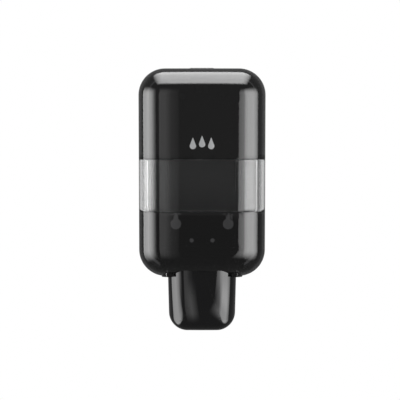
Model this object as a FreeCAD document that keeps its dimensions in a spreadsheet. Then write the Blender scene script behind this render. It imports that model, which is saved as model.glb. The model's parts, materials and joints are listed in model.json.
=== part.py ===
import FreeCAD, Part
import math
import os
import Sketcher

# Wall mounted soap dispenser: a back plate, a smoked cover that hinges down at its
# bottom rear edge, a push lever that raises the pump of a refill, and a lock on top.
#
# Frame, in millimetres: X to the right, Y into the wall, Z up.  The origin is on the
# wall face of the back plate, on the centre line, half way up the cover.

os.makedirs("parts", exist_ok=True)
doc = FreeCAD.newDocument("soap_dispenser")
Vec = FreeCAD.Vector

# ---------------------------------------------------------------- driving sizes
# Lengths are from the origin where the name ends in _y or _z, otherwise plain sizes.
SIZES = {
    # cover
    "cover_width_top": 112.2, "cover_width_bottom": 111.0,
    "cover_bottom_z": -91.0, "cover_top_z": 91.0, "cover_depth": 114.0,
    "cover_rear_y": -3.0, "cover_corner": 24.0, "cover_edge": 22.0,
    "cover_crown": 210.0, "cover_wall": 2.5, "cover_draft": 0.6,
    "window_bottom_z": -34.0, "window_top_z": 11.0,
    # opening for the lever in the cover's underside, and the lip around it
    "mouth_width": 62.4, "mouth_front_y": -105.5, "mouth_back_y": -35.0,
    "mouth_corner": 18.0, "mouth_top_z": -80.0,
    "lip_width": 3.8, "lip_bottom_z": -90.8, "lip_top_z": -86.6,
    "lip_front_y": -100.6,
    # back plate
    "plate_width": 103.6, "plate_bottom_z": -83.0, "plate_top_z": 86.0,
    "plate_corner": 20.0, "plate_wall": 2.5, "flange_depth": 16.0,
    "rest_width": 56.0, "rest_depth": 5.5, "rest_bottom_z": -20.0, "rest_top_z": 50.0,
    "rest_corner": 5.0,
    "rib_spacing": 61.0, "rib_wall": 1.5, "rib_depth": 14.0,
    "rib_bottom_z": -17.0, "rib_top_z": 72.0,
    # wall fixings
    "keyhole_spacing": 46.6, "keyhole_z": -46.7, "keyhole_radius": 4.8,
    "keyhole_slot": 4.0, "keyhole_rise": 8.4,
    "screw_hole_spacing": 18.6, "screw_hole_z": -61.4, "screw_hole_radius": 1.9,
    # hinge of the cover
    "hinge_y": -8.0, "hinge_z": -86.5, "hinge_pin": 1.5, "hinge_knuckle": 3.0,
    "hinge_middle": 30.0, "hinge_lug": 4.0, "hinge_play": 0.4, "hinge_fit": 0.05,
    "lug_room": 4.8, "foot_low_z": -90.5,
    # bracket that carries the pump and the lever
    "bracket_half": 36.0, "bracket_wall": 3.0, "bracket_back_y": -8.0,
    "bracket_low_z": -82.0, "web_base_z": -79.5, "cheek_step_y": -18.0,
    "shelf_top_z": -66.0, "shelf_front_y": -82.0,
    "cheek_front_y": -98.0, "pump_y": -57.0, "pump_slot": 13.0,
    "bracket_screw_high_x": 28.0, "bracket_screw_high_z": -72.5,
    "bracket_screw_low_x": 14.0, "bracket_screw_low_z": -76.6,
    # guide rods, springs and their towers
    "rod_x": 28.0, "rod_y": -48.0, "rod_radius": 2.0, "rod_low_z": -86.0,
    "rod_head": 3.2, "rod_head_height": 1.4, "rod_stand": 0.5, "spring_hole": 5.0,
    "tower_half": 5.5, "tower_top_z": -52.0, "tower_wall": 1.5, "tower_cap": 2.0,
    "spring_radius": 3.1, "spring_wire": 0.45, "spring_pitch": 2.6,
    # pump lifter
    "lifter_top_z": -78.0, "lifter_wall": 3.0, "lifter_half": 17.0,
    "lifter_front_y": -70.0, "lifter_back_y": -44.0, "fork_half": 8.5,
    "fork_liner_wall": 1.5, "liner_lip": 0.8, "liner_lip_width": 1.2, "bridge_half": 3.0,
    "boss_radius": 4.0, "boss_top_z": -75.0, "bush_radius": 3.0, "fit": 0.06,
    "ear_low_z": -84.5, "ear_half": 4.0, "slot_half": 3.0,
    "slot_play": 0.15,
    # lever
    "lever_width_top": 61.6, "lever_width_bottom": 57.6, "lever_bottom_z": -137.5,
    "lever_top_z": -72.0, "lever_reach": 96.0, "lever_back_y": -76.0,
    "lever_shoulder_y": -85.0, "lever_shoulder_z": -86.0, "lever_corner": 18.0,
    "lever_plan_corner": 18.0, "lever_plan_back_y": -30.0, "lever_plan_over": 0.2,
    "lever_toe": 10.0, "lever_wall": 2.5,
    "pivot_y": -92.0, "pivot_z": -76.0, "pivot_pin": 2.0, "pivot_tube": 3.6,
    "pivot_tube_half": 23.6, "arm_in": 21.0, "arm_out": 24.0,
    "drive_pin": 1.5, "drive_pin_z": -81.0, "drive_pin_inner": 16.4,
    "arm_end": 2.6, "web_half": 20.0, "web_low_z": -96.0, "web_front_y": -97.5,
    "web_wall": 2.5, "gusset_half": 1.5, "lever_screw_x": 12.0, "lever_screw_z": -89.0,
    "screw_bite": 3.4, "slot_depth": 0.8, "slot_narrow": 0.4, "pin_overhang": 2.0,
    "bush_gap": 0.3, "bush_outer": 4.0, "clip_outer": 3.6, "clip_wall": 0.8,
    # screws
    "screw_shank": 1.5, "screw_head": 2.8, "screw_head_height": 2.2,
    "screw_boss": 4.0, "screw_end_y": -1.0, "drive_long": 1.55, "drive_thin": 0.45,
    "drive_depth": 1.2,
    "small_shank": 1.25, "small_head": 2.4, "small_head_height": 1.8, "small_boss": 3.4,
    # lock
    "housing_half": 13.0, "housing_back_y": -6.0, "housing_front_y": -27.0,
    "housing_low_z": 54.0, "housing_top_z": 79.0, "housing_floor_z": 57.0,
    "slider_play": 0.3, "ear_width": 9.0, "ear_wall": 2.5, "ear_low": 62.0,
    "ear_high": 72.0, "lock_screw_x": 17.5, "lock_screw_z": 67.0,
    "slider_half": 8.0, "slider_front_y": -24.0, "slider_back_y": -8.5,
    "slider_low_z": 66.0, "slider_top_z": 83.0, "slider_spring_y": -16.0,
    "hook_half": 4.5, "hook_reach_y": -33.0, "hook_low_z": 74.0, "hook_top_z": 78.0,
    "nose_back_y": -30.0, "nose_top_z": 79.6, "latch_travel": 3.5,
    "button_half": 10.5, "button_front_y": -22.5, "button_back_y": -5.0,
    "button_top_z": 92.0, "button_corner": 3.0, "notch_gap": 0.5,
    "barrel_radius": 3.5, "barrel_low_z": 76.3, "barrel_pocket": 6.0,
    "barrel_pocket_z": 76.0, "cam_reach": 5.5, "cam_half": 1.5, "cam_height": 2.0,
    "key_slot_half": 0.6, "key_slot_length": 2.6, "key_slot_depth": 3.0,
    "catch_half": 9.0, "catch_front_y": -29.5, "catch_wall": 2.0,
    "catch_low_z": 81.0, "catch_gap": 0.45, "catch_foot_y": -38.0, "catch_foot_wall": 1.6,
    "latch_coil_radius": 3.0, "latch_coil_wire": 0.4, "latch_coil_pitch": 1.7,
    "seat_gap": 1.2, "seat_depth": 1.0,
    # emblem: three soap drops
    "drop_radius": 2.7, "drop_rise": 7.6, "drop_spacing": 7.9, "drop_lift": 1.6,
    "emblem_z": 22.6, "emblem_wall": 0.4,
}

sheet = doc.addObject("Spreadsheet::Sheet", "sizes")
for row, (alias, number) in enumerate(SIZES.items(), start=1):
    sheet.set(f"A{row}", alias)
    sheet.set(f"B{row}", str(number))
    sheet.setAlias(f"B{row}", alias)
doc.recompute()


class Size:
    """A length worked out by FreeCAD from the sheet, with its value at hand."""

    def __init__(self, text, value):
        self.text = text
        self.value = value

    def __add__(self, other):
        other = as_size(other)
        return Size(f"({self.text} + {other.text})", self.value + other.value)

    def __sub__(self, other):
        other = as_size(other)
        return Size(f"({self.text} - {other.text})", self.value - other.value)

    def __mul__(self, factor):
        return Size(f"({self.text} * {factor})", self.value * factor)

    def __truediv__(self, divisor):
        return Size(f"({self.text} / {divisor})", self.value / divisor)

    def __neg__(self):
        return Size(f"(-{self.text})", -self.value)


def as_size(thing):
    """A plain number is a size too."""
    return thing if isinstance(thing, Size) else Size(str(float(thing)), float(thing))


def size(alias):
    """The size that the sheet holds under this alias."""
    return Size(f"sizes.{alias}", float(sheet.get(alias)))


FAR = 200.0         # past everything, for cutting tools
OVER = 1.0          # how far a tool or a stem runs past the face it meets
CLOSE = 1e-6        # two lengths this near are the same
LEVER_SWEEP = 140   # degrees that the lever's plan is turned through


# ---------------------------------------------------------------- building blocks
def bound(kind, name, **links):
    """Add an object and bind its properties to sizes; X, Y and Z place it."""
    thing = doc.addObject(kind, name)
    for key, link in links.items():
        path = f"Placement.Base.{key.lower()}" if key in ("X", "Y", "Z") else key
        thing.setExpression(path, as_size(link).text)
    return thing


def block(name, x, y, z):
    """A rectangular block; x, y and z are each (low, high)."""
    low = [as_size(pair[0]) for pair in (x, y, z)]
    high = [as_size(pair[1]) for pair in (x, y, z)]
    return bound("Part::Box", name, X=low[0], Y=low[1], Z=low[2],
                 Length=high[0] - low[0], Width=high[1] - low[1],
                 Height=high[2] - low[2])


TURN_TO = {
    "x": FreeCAD.Rotation(Vec(0, 1, 0), 90),
    "y": FreeCAD.Rotation(Vec(1, 0, 0), -90),
    "z": FreeCAD.Rotation(),
}


def cylinder(name, axis, radius, start, end, **centre):
    """A cylinder along an axis from start to end; centre gives the other two places."""
    thing = doc.addObject("Part::Cylinder", name)
    thing.Placement = FreeCAD.Placement(Vec(), TURN_TO[axis])
    start = as_size(start)
    places = {axis: start, **{key.lower(): as_size(link) for key, link in centre.items()}}
    for key, link in places.items():
        thing.setExpression(f"Placement.Base.{key}", link.text)
    thing.setExpression("Radius", as_size(radius).text)
    thing.setExpression("Height", (as_size(end) - start).text)
    return thing


def fuse(name, *shapes):
    thing = doc.addObject("Part::MultiFuse", name)
    thing.Shapes = list(shapes)
    return thing


def cut(name, base, *tools):
    """Take the tools away from the base, together as one."""
    thing = doc.addObject("Part::Cut", name)
    thing.Base = base
    thing.Tool = tools[0] if len(tools) == 1 else fuse(name + "_tools", *tools)
    return thing


def common(name, *shapes):
    thing = doc.addObject("Part::MultiCommon", name)
    thing.Shapes = list(shapes)
    return thing


def group(name, shapes):
    """Separate solids that share one node."""
    thing = doc.addObject("Part::Compound", name)
    thing.Links = list(shapes)
    return thing


def fillet(name, base, radius, chosen):
    """Round the edges of the base for which chosen(edge) is true."""
    doc.recompute()
    thing = doc.addObject("Part::Fillet", name)
    thing.Base = base
    thing.Edges = [(number, radius.value, radius.value)
                   for number, edge in enumerate(base.Shape.Edges, start=1) if chosen(edge)]
    return thing


def both_sides(make):
    """The piece made at the right (+1) and at the left (-1) of the centre line."""
    return [make(side, tag) for side, tag in ((1, "right"), (-1, "left"))]


def mirrored(side, near, far):
    """The pair (low, high) of a span that lies near..far from the centre line."""
    near = as_size(near)
    far = as_size(far)
    return (near, far) if side > 0 else (-far, -near)


def sketch_on(body, plane, name, offset=0):
    """A sketch on one of the body's own origin planes, lifted by offset."""
    sketch = body.newObject("Sketcher::SketchObject", name)
    support = next(f for f in body.Origin.OriginFeatures if f.Role == plane)
    sketch.AttachmentSupport = [(support, "")]
    sketch.MapMode = "FlatFace"
    sketch.setExpression("AttachmentOffset.Base.z", as_size(offset).text)
    return sketch


def dimension(sketch, kind, *where, length):
    """A driving dimension bound to a size."""
    length = as_size(length)
    number = sketch.addConstraint(Sketcher.Constraint(kind, *where, length.value))
    sketch.setExpression(f"Constraints[{number}]", length.text)


def rounded_outline(sketch, width_top, width_bottom, low, high, radius):
    """A closed outline of four equal corner arcs and four tangent lines.

    It is symmetrical about the sketch's upright axis, and its two widths may differ."""
    across_top = (width_top - radius * 2) / 2
    across_bottom = (width_bottom - radius * 2) / 2
    centres = [(across_bottom, low + radius), (across_top, high - radius),
               (-across_top, high - radius), (-across_bottom, low + radius)]
    arcs = []
    for quarter, (x, y) in enumerate(centres):
        start = math.radians(90 * quarter - 90)
        circle = Part.Circle(Vec(x.value, y.value, 0), Vec(0, 0, 1), radius.value)
        arc = Part.ArcOfCircle(circle, start, start + math.pi / 2)
        arcs.append(sketch.addGeometry(arc, False))
    for before, after in zip(arcs, arcs[1:] + arcs[:1]):
        line = Part.LineSegment(sketch.getPoint(before, 2), sketch.getPoint(after, 1))
        side = sketch.addGeometry(line, False)
        sketch.addConstraint(Sketcher.Constraint("Tangent", before, 2, side, 1))
        sketch.addConstraint(Sketcher.Constraint("Tangent", side, 2, after, 1))
    for arc in arcs[1:]:
        sketch.addConstraint(Sketcher.Constraint("Equal", arcs[0], arc))
    upright = -2
    sketch.addConstraint(Sketcher.Constraint("Symmetric", arcs[0], 3, arcs[3], 3, upright))
    sketch.addConstraint(Sketcher.Constraint("Symmetric", arcs[1], 3, arcs[2], 3, upright))
    dimension(sketch, "Radius", arcs[0], length=radius)
    dimension(sketch, "DistanceX", arcs[3], 3, arcs[0], 3, length=across_bottom * 2)
    dimension(sketch, "DistanceX", arcs[2], 3, arcs[1], 3, length=across_top * 2)
    dimension(sketch, "DistanceY", -1, 1, arcs[0], 3, length=low + radius)
    dimension(sketch, "DistanceY", -1, 1, arcs[1], 3, length=high - radius)


def round_hole(sketch, x, y, radius):
    """A circle with its centre and radius dimensioned."""
    middle = Vec(as_size(x).value, as_size(y).value, 0)
    ring = sketch.addGeometry(Part.Circle(middle, Vec(0, 0, 1), radius.value), False)
    dimension(sketch, "Radius", ring, length=radius)
    dimension(sketch, "DistanceX", -1, 1, ring, 3, length=x)
    dimension(sketch, "DistanceY", -1, 1, ring, 3, length=y)


def pad(body, sketch, length, name, draft=None):
    """Raise the sketch along its normal; a draft narrows it on the way."""
    feature = body.newObject("PartDesign::Pad", name)
    feature.Profile = sketch
    feature.setExpression("Length", as_size(length).text)
    if draft is not None:
        feature.setExpression("TaperAngle", (-draft).text)
    body.Tip = feature
    return feature


def pocket_through(body, sketch, name):
    """Cut the sketch right through, towards its normal, and make sure that it cuts."""
    doc.recompute()
    before = body.Shape.Volume
    feature = body.newObject("PartDesign::Pocket", name)
    feature.Profile = sketch
    feature.Type = "ThroughAll"
    feature.Reversed = True
    body.Tip = feature
    doc.recompute()
    if body.Shape.Volume >= before - CLOSE:
        raise RuntimeError(name + " cuts nothing")
    return feature


def new_body(name):
    return doc.addObject("PartDesign::Body", name)


def prism(name, plane, length, outline, offset=0, draft=None):
    """A body that is one rounded outline, raised from an origin plane."""
    body = new_body(name)
    sketch = sketch_on(body, plane, name + "_outline", offset)
    rounded_outline(sketch, *outline)
    pad(body, sketch, length, name + "_pad", draft)
    return body


def coil(name, radius, wire, pitch, low, high, x, y):
    """A compression spring of round wire that stands between two heights."""
    low = low + wire
    helix = bound("Part::Helix", name + "_line", X=x, Y=y, Z=low, Radius=radius,
                  Pitch=pitch, Height=high - wire - low)
    section = doc.addObject("Part::Circle", name + "_wire")
    section.Placement = FreeCAD.Placement(Vec(), FreeCAD.Rotation(Vec(1, 0, 0), 90))
    section.setExpression("Placement.Base.x", (as_size(x) + radius).text)
    section.setExpression("Placement.Base.y", as_size(y).text)
    section.setExpression("Placement.Base.z", low.text)
    section.setExpression("Radius", wire.text)
    doc.recompute()
    spring = doc.addObject("Part::Sweep", name)
    spring.Sections = [section]
    spring.Spine = (helix, [f"Edge{n + 1}" for n in range(len(helix.Shape.Edges))])
    spring.Solid = True
    spring.Frenet = True
    return spring


def screw(name, shank, head, head_height, under_head, tip, x, z):
    """A pan head screw along Y, its head towards the room, with a cross recess."""
    top = under_head - head_height
    stem = cylinder(name + "_stem", "y", shank, under_head, tip, X=x, Z=z)
    cap = cylinder(name + "_cap", "y", head, top, under_head, X=x, Z=z)
    whole = fuse(name + "_whole", stem, cap)
    long_half = size("drive_long")
    thin_half = size("drive_thin")
    deep = (top - OVER, top + size("drive_depth"))
    flat = block(name + "_flat", (x - long_half, x + long_half), deep,
                 (z - thin_half, z + thin_half))
    tall = block(name + "_tall", (x - thin_half, x + thin_half), deep,
                 (z - long_half, z + long_half))
    return cut(name, whole, flat, tall)


PARTS = []


def keep(label, thing):
    """Make this object the sub-part of that name."""
    thing.Label = label
    PARTS.append(thing)
    return thing


# ---------------------------------------------------------------- back plate
def back_plate():
    """A tray with a shallow flange, a raised rest for the refill between two ribs,
    screw bosses, hinge lugs, two keyholes and two round screw holes."""
    wall = size("plate_wall")
    body = new_body("plate_body")
    outline = (size("plate_width"), size("plate_width"), size("plate_bottom_z"),
               size("plate_top_z"), size("plate_corner"))
    plate = sketch_on(body, "XZ_Plane", "plate_outline")
    rounded_outline(plate, *outline)
    pad(body, plate, wall, "plate_pad")

    flange = sketch_on(body, "XZ_Plane", "flange_outline")
    rounded_outline(flange, *outline)
    inner = size("plate_width") - wall * 2
    rounded_outline(flange, inner, inner, size("plate_bottom_z") + wall,
                    size("plate_top_z") - wall, size("plate_corner") - wall)
    pad(body, flange, size("flange_depth"), "flange_pad")

    rest = sketch_on(body, "XZ_Plane", "rest_outline")
    rounded_outline(rest, size("rest_width"), size("rest_width"), size("rest_bottom_z"),
                    size("rest_top_z"), size("rest_corner"))
    pad(body, rest, size("rest_depth"), "rest_pad")

    holes = sketch_on(body, "XZ_Plane", "screw_hole_circles")
    for side in (1, -1):
        round_hole(holes, size("screw_hole_spacing") * (side / 2), size("screw_hole_z"),
                   size("screw_hole_radius"))
    pocket_through(body, holes, "screw_hole_cut")

    def rib(side, tag):
        middle = size("rib_spacing") / 2
        half = size("rib_wall") / 2
        return block("rib_" + tag, mirrored(side, middle - half, middle + half),
                     (-size("rib_depth"), -wall), (size("rib_bottom_z"), size("rib_top_z")))

    def lug(side, tag):
        """Hangs under the flange and holds one hinge pin."""
        half = size("hinge_lug") / 2
        span = mirrored(side, size("hinge_middle") - half, size("hinge_middle") + half)
        round_end = cylinder("lug_round_" + tag, "x", size("hinge_knuckle"), span[0],
                             span[1], Y=size("hinge_y"), Z=size("hinge_z"))
        stem = block("lug_stem_" + tag, span,
                     (size("hinge_y") - size("hinge_knuckle"),
                      size("hinge_y") + size("hinge_knuckle")),
                     (size("hinge_z"), size("plate_bottom_z") + OVER))
        whole = fuse("lug_whole_" + tag, round_end, stem)
        bore = cylinder("lug_bore_" + tag, "x", size("hinge_pin"), span[0] - OVER,
                        span[1] + OVER, Y=size("hinge_y"), Z=size("hinge_z"))
        return cut("lug_" + tag, whole, bore)

    def bosses(side, tag):
        places = [(size("bracket_screw_high_x"), size("bracket_screw_high_z"),
                   size("bracket_back_y")),
                  (size("bracket_screw_low_x"), size("bracket_screw_low_z"),
                   size("bracket_back_y")),
                  (size("lock_screw_x"), size("lock_screw_z"), size("housing_back_y"))]
        made = []
        for number, (x, z, top) in enumerate(places):
            name = f"plate_boss_{number}_{tag}"
            post = cylinder(name + "_post", "y", size("screw_boss"), top, -wall,
                            X=x * side, Z=z)
            pilot = cylinder(name + "_pilot", "y", size("screw_shank"), top - OVER,
                             size("screw_end_y"), X=x * side, Z=z)
            made.append((post, pilot))
        return made

    pairs = [pair for one_side in both_sides(bosses) for pair in one_side]
    notch_half = size("button_half") + size("notch_gap") * 3
    button_room = block("flange_notch", (-notch_half, notch_half), (-FAR, -wall),
                        (size("plate_top_z") - wall - size("notch_gap"), FAR))
    solid = fuse("plate_solid", body, *both_sides(rib), *both_sides(lug),
                 *[post for post, pilot in pairs])
    drilled = cut("plate_drilled", solid, *[pilot for post, pilot in pairs],
                  button_room, *both_sides(keyhole))
    keep("back_plate", drilled)


def keyhole(side, tag):
    """A round entry with a narrow slot that rises from it."""
    x = size("keyhole_spacing") * (side / 2)
    z = size("keyhole_z")
    half = size("keyhole_slot") / 2
    top = z + size("keyhole_rise") - half
    front = -size("flange_depth")
    entry = cylinder("keyhole_entry_" + tag, "y", size("keyhole_radius"), front, OVER,
                     X=x, Z=z)
    slot = block("keyhole_slot_" + tag, (x - half, x + half), (front, OVER), (z, top))
    end = cylinder("keyhole_end_" + tag, "y", half, front, OVER, X=x, Z=top)
    return fuse("keyhole_" + tag, entry, slot, end)


# ---------------------------------------------------------------- cover
def crowned_block(name, inset):
    """The cover's outer form, drawn in by inset on every side but the rear."""
    outline = (size("cover_width_top") - inset * 2, size("cover_width_bottom") - inset * 2,
               size("cover_bottom_z") + inset, size("cover_top_z") - inset,
               size("cover_corner") - inset)
    upright = prism(name + "_sides", "XZ_Plane", FAR, outline, draft=size("cover_draft"))
    crown = cylinder(name + "_crown", "z", size("cover_crown") - inset, -FAR, FAR,
                     Y=size("cover_crown") - size("cover_depth"))
    rough = common(name + "_rough", upright, crown)
    doc.recompute()
    front = [face for face in rough.Shape.Faces
             if isinstance(face.Surface, Part.Cylinder)
             and abs(face.Surface.Radius - crown.Radius.Value) < CLOSE]
    rims = [edge.hashCode() for face in front for edge in face.Edges]
    return fillet(name, rough, size("cover_edge") - inset,
                  lambda edge: edge.hashCode() in rims)


def mouth(name, grow, low, high):
    """The opening in the cover's underside through which the lever hangs."""
    width = size("mouth_width") + grow * 2
    outline = (width, width, size("mouth_front_y") - grow, size("mouth_back_y") + grow,
               size("mouth_corner") + grow)
    return prism(name, "XY_Plane", high - low, outline, offset=low)


def cover():
    """The cover is welded from three mouldings: upper, clear window and lower."""
    wall = size("cover_wall")
    outer = crowned_block("cover_outer", as_size(0))
    inner = crowned_block("cover_inner", wall)
    rear = block("cover_rear_trim", (-FAR, FAR), (size("cover_rear_y"), FAR), (-FAR, FAR))
    heel = block("cover_heel_trim", (-FAR, FAR), (size("hinge_y"), FAR),
                 (-FAR, size("hinge_z")))
    notch_half = size("button_half") + size("notch_gap")
    notch = block("button_notch", (-notch_half, notch_half),
                  (size("button_front_y") - size("notch_gap") * 2, FAR),
                  (size("slider_top_z"), FAR))
    hollow = cut("cover_hollow", outer, inner, rear, heel, notch)

    spans = {"cover_upper": (size("window_top_z"), FAR),
             "cover_window": (size("window_bottom_z"), size("window_top_z"))}
    for label, span in spans.items():
        keep(label, common(label, hollow,
                           block(label + "_span", (-FAR, FAR), (-FAR, FAR), span)))

    lower = common("cover_lower_wall", hollow,
                   block("cover_lower_span", (-FAR, FAR), (-FAR, FAR),
                         (-FAR, size("window_bottom_z"))))
    lip_low = size("lip_bottom_z")
    lip = common("mouth_lip",
                 mouth("lip_outline", size("lip_width"), lip_low, size("lip_top_z")),
                 block("lip_span", (-FAR, FAR), (size("lip_front_y"), FAR), (-FAR, FAR)))
    opening = mouth("mouth_outline", as_size(0), lip_low - OVER, size("mouth_top_z"))

    def knuckles(side, tag):
        """Two knuckles, one each side of the back plate's lug."""
        half = size("hinge_lug") / 2 + size("hinge_play")
        middle = size("hinge_middle")
        far = half + size("hinge_lug")
        made = []
        for end, near, reach in (("near", middle - far, middle - half),
                                 ("far", middle + half, middle + far)):
            low, high = mirrored(side, near, reach)
            name = f"knuckle_{end}_{tag}"
            round_end = cylinder(name + "_round", "x", size("hinge_knuckle"), low, high,
                                 Y=size("hinge_y"), Z=size("hinge_z"))
            foot = block(name + "_foot", (low, high),
                         (size("hinge_y") - size("hinge_knuckle"), size("hinge_y")),
                         (size("foot_low_z"), size("hinge_z")))
            made += [round_end, foot]
        return fuse("knuckles_" + tag, *made)

    def hinge_cuts(side, tag):
        """Room for the lug, and the bore for the pin."""
        half = size("hinge_lug") / 2 + size("hinge_play")
        middle = size("hinge_middle")
        room = block("lug_room_" + tag, mirrored(side, middle - half, middle + half),
                     (size("hinge_y") - size("lug_room"), FAR),
                     (-FAR, size("hinge_z") + size("hinge_knuckle")))
        far = half + size("hinge_lug") + OVER
        low, high = mirrored(side, middle - far, middle + far)
        bore = cylinder("knuckle_bore_" + tag, "x", size("hinge_pin") + size("hinge_fit"),
                        low, high, Y=size("hinge_y"), Z=size("hinge_z"))
        return fuse("hinge_cuts_" + tag, room, bore)

    joined = fuse("cover_lower_joined", lower, lip, *both_sides(knuckles))
    keep("cover_lower", cut("cover_lower", joined, opening, *both_sides(hinge_cuts)))


def hinge_pins():
    """One steel pin each side, fixed in the lug, free in the knuckles."""
    def pin(side, tag):
        far = size("hinge_lug") * 1.5 + size("hinge_play")
        low, high = mirrored(side, size("hinge_middle") - far, size("hinge_middle") + far)
        return cylinder("hinge_pin_" + tag, "x", size("hinge_pin"), low, high,
                        Y=size("hinge_y"), Z=size("hinge_z"))
    keep("cover_hinge_pins", group("cover_hinge_pins", both_sides(pin)))


def catch_plate():
    """The plate under the cover's top that the latch hook holds."""
    top = size("cover_top_z") - size("cover_wall") - size("catch_gap")
    across = (-size("catch_half"), size("catch_half"))
    front = size("catch_front_y")
    lip = block("catch_lip", across, (front, front + size("catch_wall")),
                (size("catch_low_z"), top))
    foot = block("catch_foot", across, (size("catch_foot_y"), front + size("catch_wall")),
                 (top - size("catch_foot_wall"), top))
    keep("catch_plate", fuse("catch_plate", lip, foot))


def emblem():
    """Three soap drops in low relief on the crowned front."""
    rise = size("drop_rise")
    radius = size("drop_radius")
    touch = math.acos(radius.value / rise.value)
    body = new_body("emblem_body")
    sketch = sketch_on(body, "XZ_Plane", "emblem_outline")
    for step in (-1, 0, 1):
        x = size("drop_spacing") * step
        z = size("emblem_z") if step else size("emblem_z") + size("drop_lift")
        circle = Part.Circle(Vec(x.value, z.value, 0), Vec(0, 0, 1), radius.value)
        start = math.pi / 2 + touch
        bowl = sketch.addGeometry(
            Part.ArcOfCircle(circle, start, start + 2 * (math.pi - touch)), False)
        tip = Vec(x.value, (z + rise).value, 0)
        left = sketch.addGeometry(Part.LineSegment(tip, sketch.getPoint(bowl, 1)), False)
        right = sketch.addGeometry(Part.LineSegment(sketch.getPoint(bowl, 2), tip), False)
        sketch.addConstraint(Sketcher.Constraint("Tangent", left, 2, bowl, 1))
        sketch.addConstraint(Sketcher.Constraint("Tangent", bowl, 2, right, 1))
        sketch.addConstraint(Sketcher.Constraint("Coincident", right, 2, left, 1))
        dimension(sketch, "Radius", bowl, length=radius)
        dimension(sketch, "DistanceX", -1, 1, bowl, 3, length=x)
        dimension(sketch, "DistanceY", -1, 1, bowl, 3, length=z)
        dimension(sketch, "DistanceX", -1, 1, left, 1, length=x)
        dimension(sketch, "DistanceY", -1, 1, left, 1, length=z + rise)
    pad(body, sketch, FAR, "emblem_pad")
    axis_y = size("cover_crown") - size("cover_depth")
    skin = cylinder("emblem_skin", "z", size("cover_crown") + size("emblem_wall"), -FAR,
                    FAR, Y=axis_y)
    core = cylinder("emblem_core", "z", size("cover_crown"), -FAR, FAR, Y=axis_y)
    keep("front_emblem", cut("front_emblem", common("emblem_face", body, skin), core))


# ---------------------------------------------------------------- bracket and pump drive
def pump_bracket():
    """A shelf with a slot for the neck of the refill, two cheeks that carry the lever,
    a web screwed to the back plate, and a spring tower over each guide rod."""
    half = size("bracket_half")
    wall = size("bracket_wall")
    back = size("bracket_back_y")
    top = size("shelf_top_z")
    low = size("bracket_low_z")
    shelf = block("shelf", (-half, half), (size("shelf_front_y"), back), (top - wall, top))
    web = block("bracket_web", (-half, half), (back - wall, back),
                (size("web_base_z"), top))

    def cheek(side, tag):
        """Deeper in front, where it holds the lever, than over the plate's flange."""
        span = mirrored(side, half - wall, half)
        deep = block("cheek_deep_" + tag, span,
                     (size("cheek_front_y"), size("cheek_step_y")), (low, top))
        shallow = block("cheek_shallow_" + tag, span, (size("cheek_step_y") - OVER, back),
                        (size("web_base_z"), top))
        return fuse("cheek_" + tag, deep, shallow)

    def tower(side, tag):
        reach = size("tower_half")
        span = mirrored(side, size("rod_x") - reach, size("rod_x") + reach)
        deep = (size("rod_y") - reach, size("rod_y") + reach)
        outside = block("tower_outside_" + tag, span, deep, (top, size("tower_top_z")))
        skin = size("tower_wall")
        room = block("tower_room_" + tag, (span[0] + skin, span[1] - skin),
                     (-FAR, FAR), (top, size("tower_top_z") - size("tower_cap")))
        return cut("tower_" + tag, outside, room)

    def bores(side, tag):
        x = size("rod_x") * side
        rod = cylinder("tower_bore_" + tag, "z", size("rod_radius"), top, FAR, X=x,
                       Y=size("rod_y"))
        spring = cylinder("spring_hole_" + tag, "z", size("spring_hole"),
                          top - wall - OVER, top + OVER, X=x, Y=size("rod_y"))
        screws = [cylinder(f"web_hole_{name}_{tag}", "y", size("screw_shank"),
                           back - wall - OVER, back + OVER,
                           X=size(f"bracket_screw_{name}_x") * side,
                           Z=size(f"bracket_screw_{name}_z")) for name in ("high", "low")]
        return fuse("bracket_bores_" + tag, rod, spring, *screws)

    neck = cylinder("neck_round", "z", size("pump_slot"), low, FAR, Y=size("pump_y"))
    way_in = block("neck_way_in", (-size("pump_slot"), size("pump_slot")),
                   (-FAR, size("pump_y")), (low, FAR))
    pivot = cylinder("pivot_bore", "x", size("pivot_pin"), -FAR, FAR, Y=size("pivot_y"),
                     Z=size("pivot_z"))
    solid = fuse("bracket_solid", shelf, web, *both_sides(cheek), *both_sides(tower))
    keep("pump_bracket", cut("pump_bracket", solid, neck, way_in, pivot,
                             *both_sides(bores)))


def bracket_screws():
    def pair(side, tag):
        return [screw(f"bracket_screw_{name}_{tag}", size("screw_shank"),
                      size("screw_head"), size("screw_head_height"),
                      size("bracket_back_y") - size("bracket_wall"), size("screw_end_y"),
                      size(f"bracket_screw_{name}_x") * side,
                      size(f"bracket_screw_{name}_z"))
                for name in ("high", "low")]
    keep("bracket_screws", group("bracket_screws", sum(both_sides(pair), [])))


def guide_rods():
    """A steel rod each side, with a head below that stops the lifter."""
    def rod(side, tag):
        x = size("rod_x") * side
        low = size("rod_low_z")
        stem = cylinder("rod_stem_" + tag, "z", size("rod_radius"), low,
                        size("tower_top_z") + size("rod_stand"), X=x, Y=size("rod_y"))
        head = cylinder("rod_head_" + tag, "z", size("rod_head"), low,
                        low + size("rod_head_height"), X=x, Y=size("rod_y"))
        return fuse("rod_" + tag, stem, head)
    keep("guide_rods", group("guide_rods", both_sides(rod)))


def return_springs():
    """Each spring stands on the lifter and pushes against its tower's cap."""
    def spring(side, tag):
        made = coil("coil_" + tag, size("spring_radius"), size("spring_wire"),
                    size("spring_pitch"), size("boss_top_z"),
                    size("tower_top_z") - size("tower_cap"), size("rod_x") * side,
                    size("rod_y"))
        return keep("return_spring_" + tag, made)
    both_sides(spring)


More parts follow.
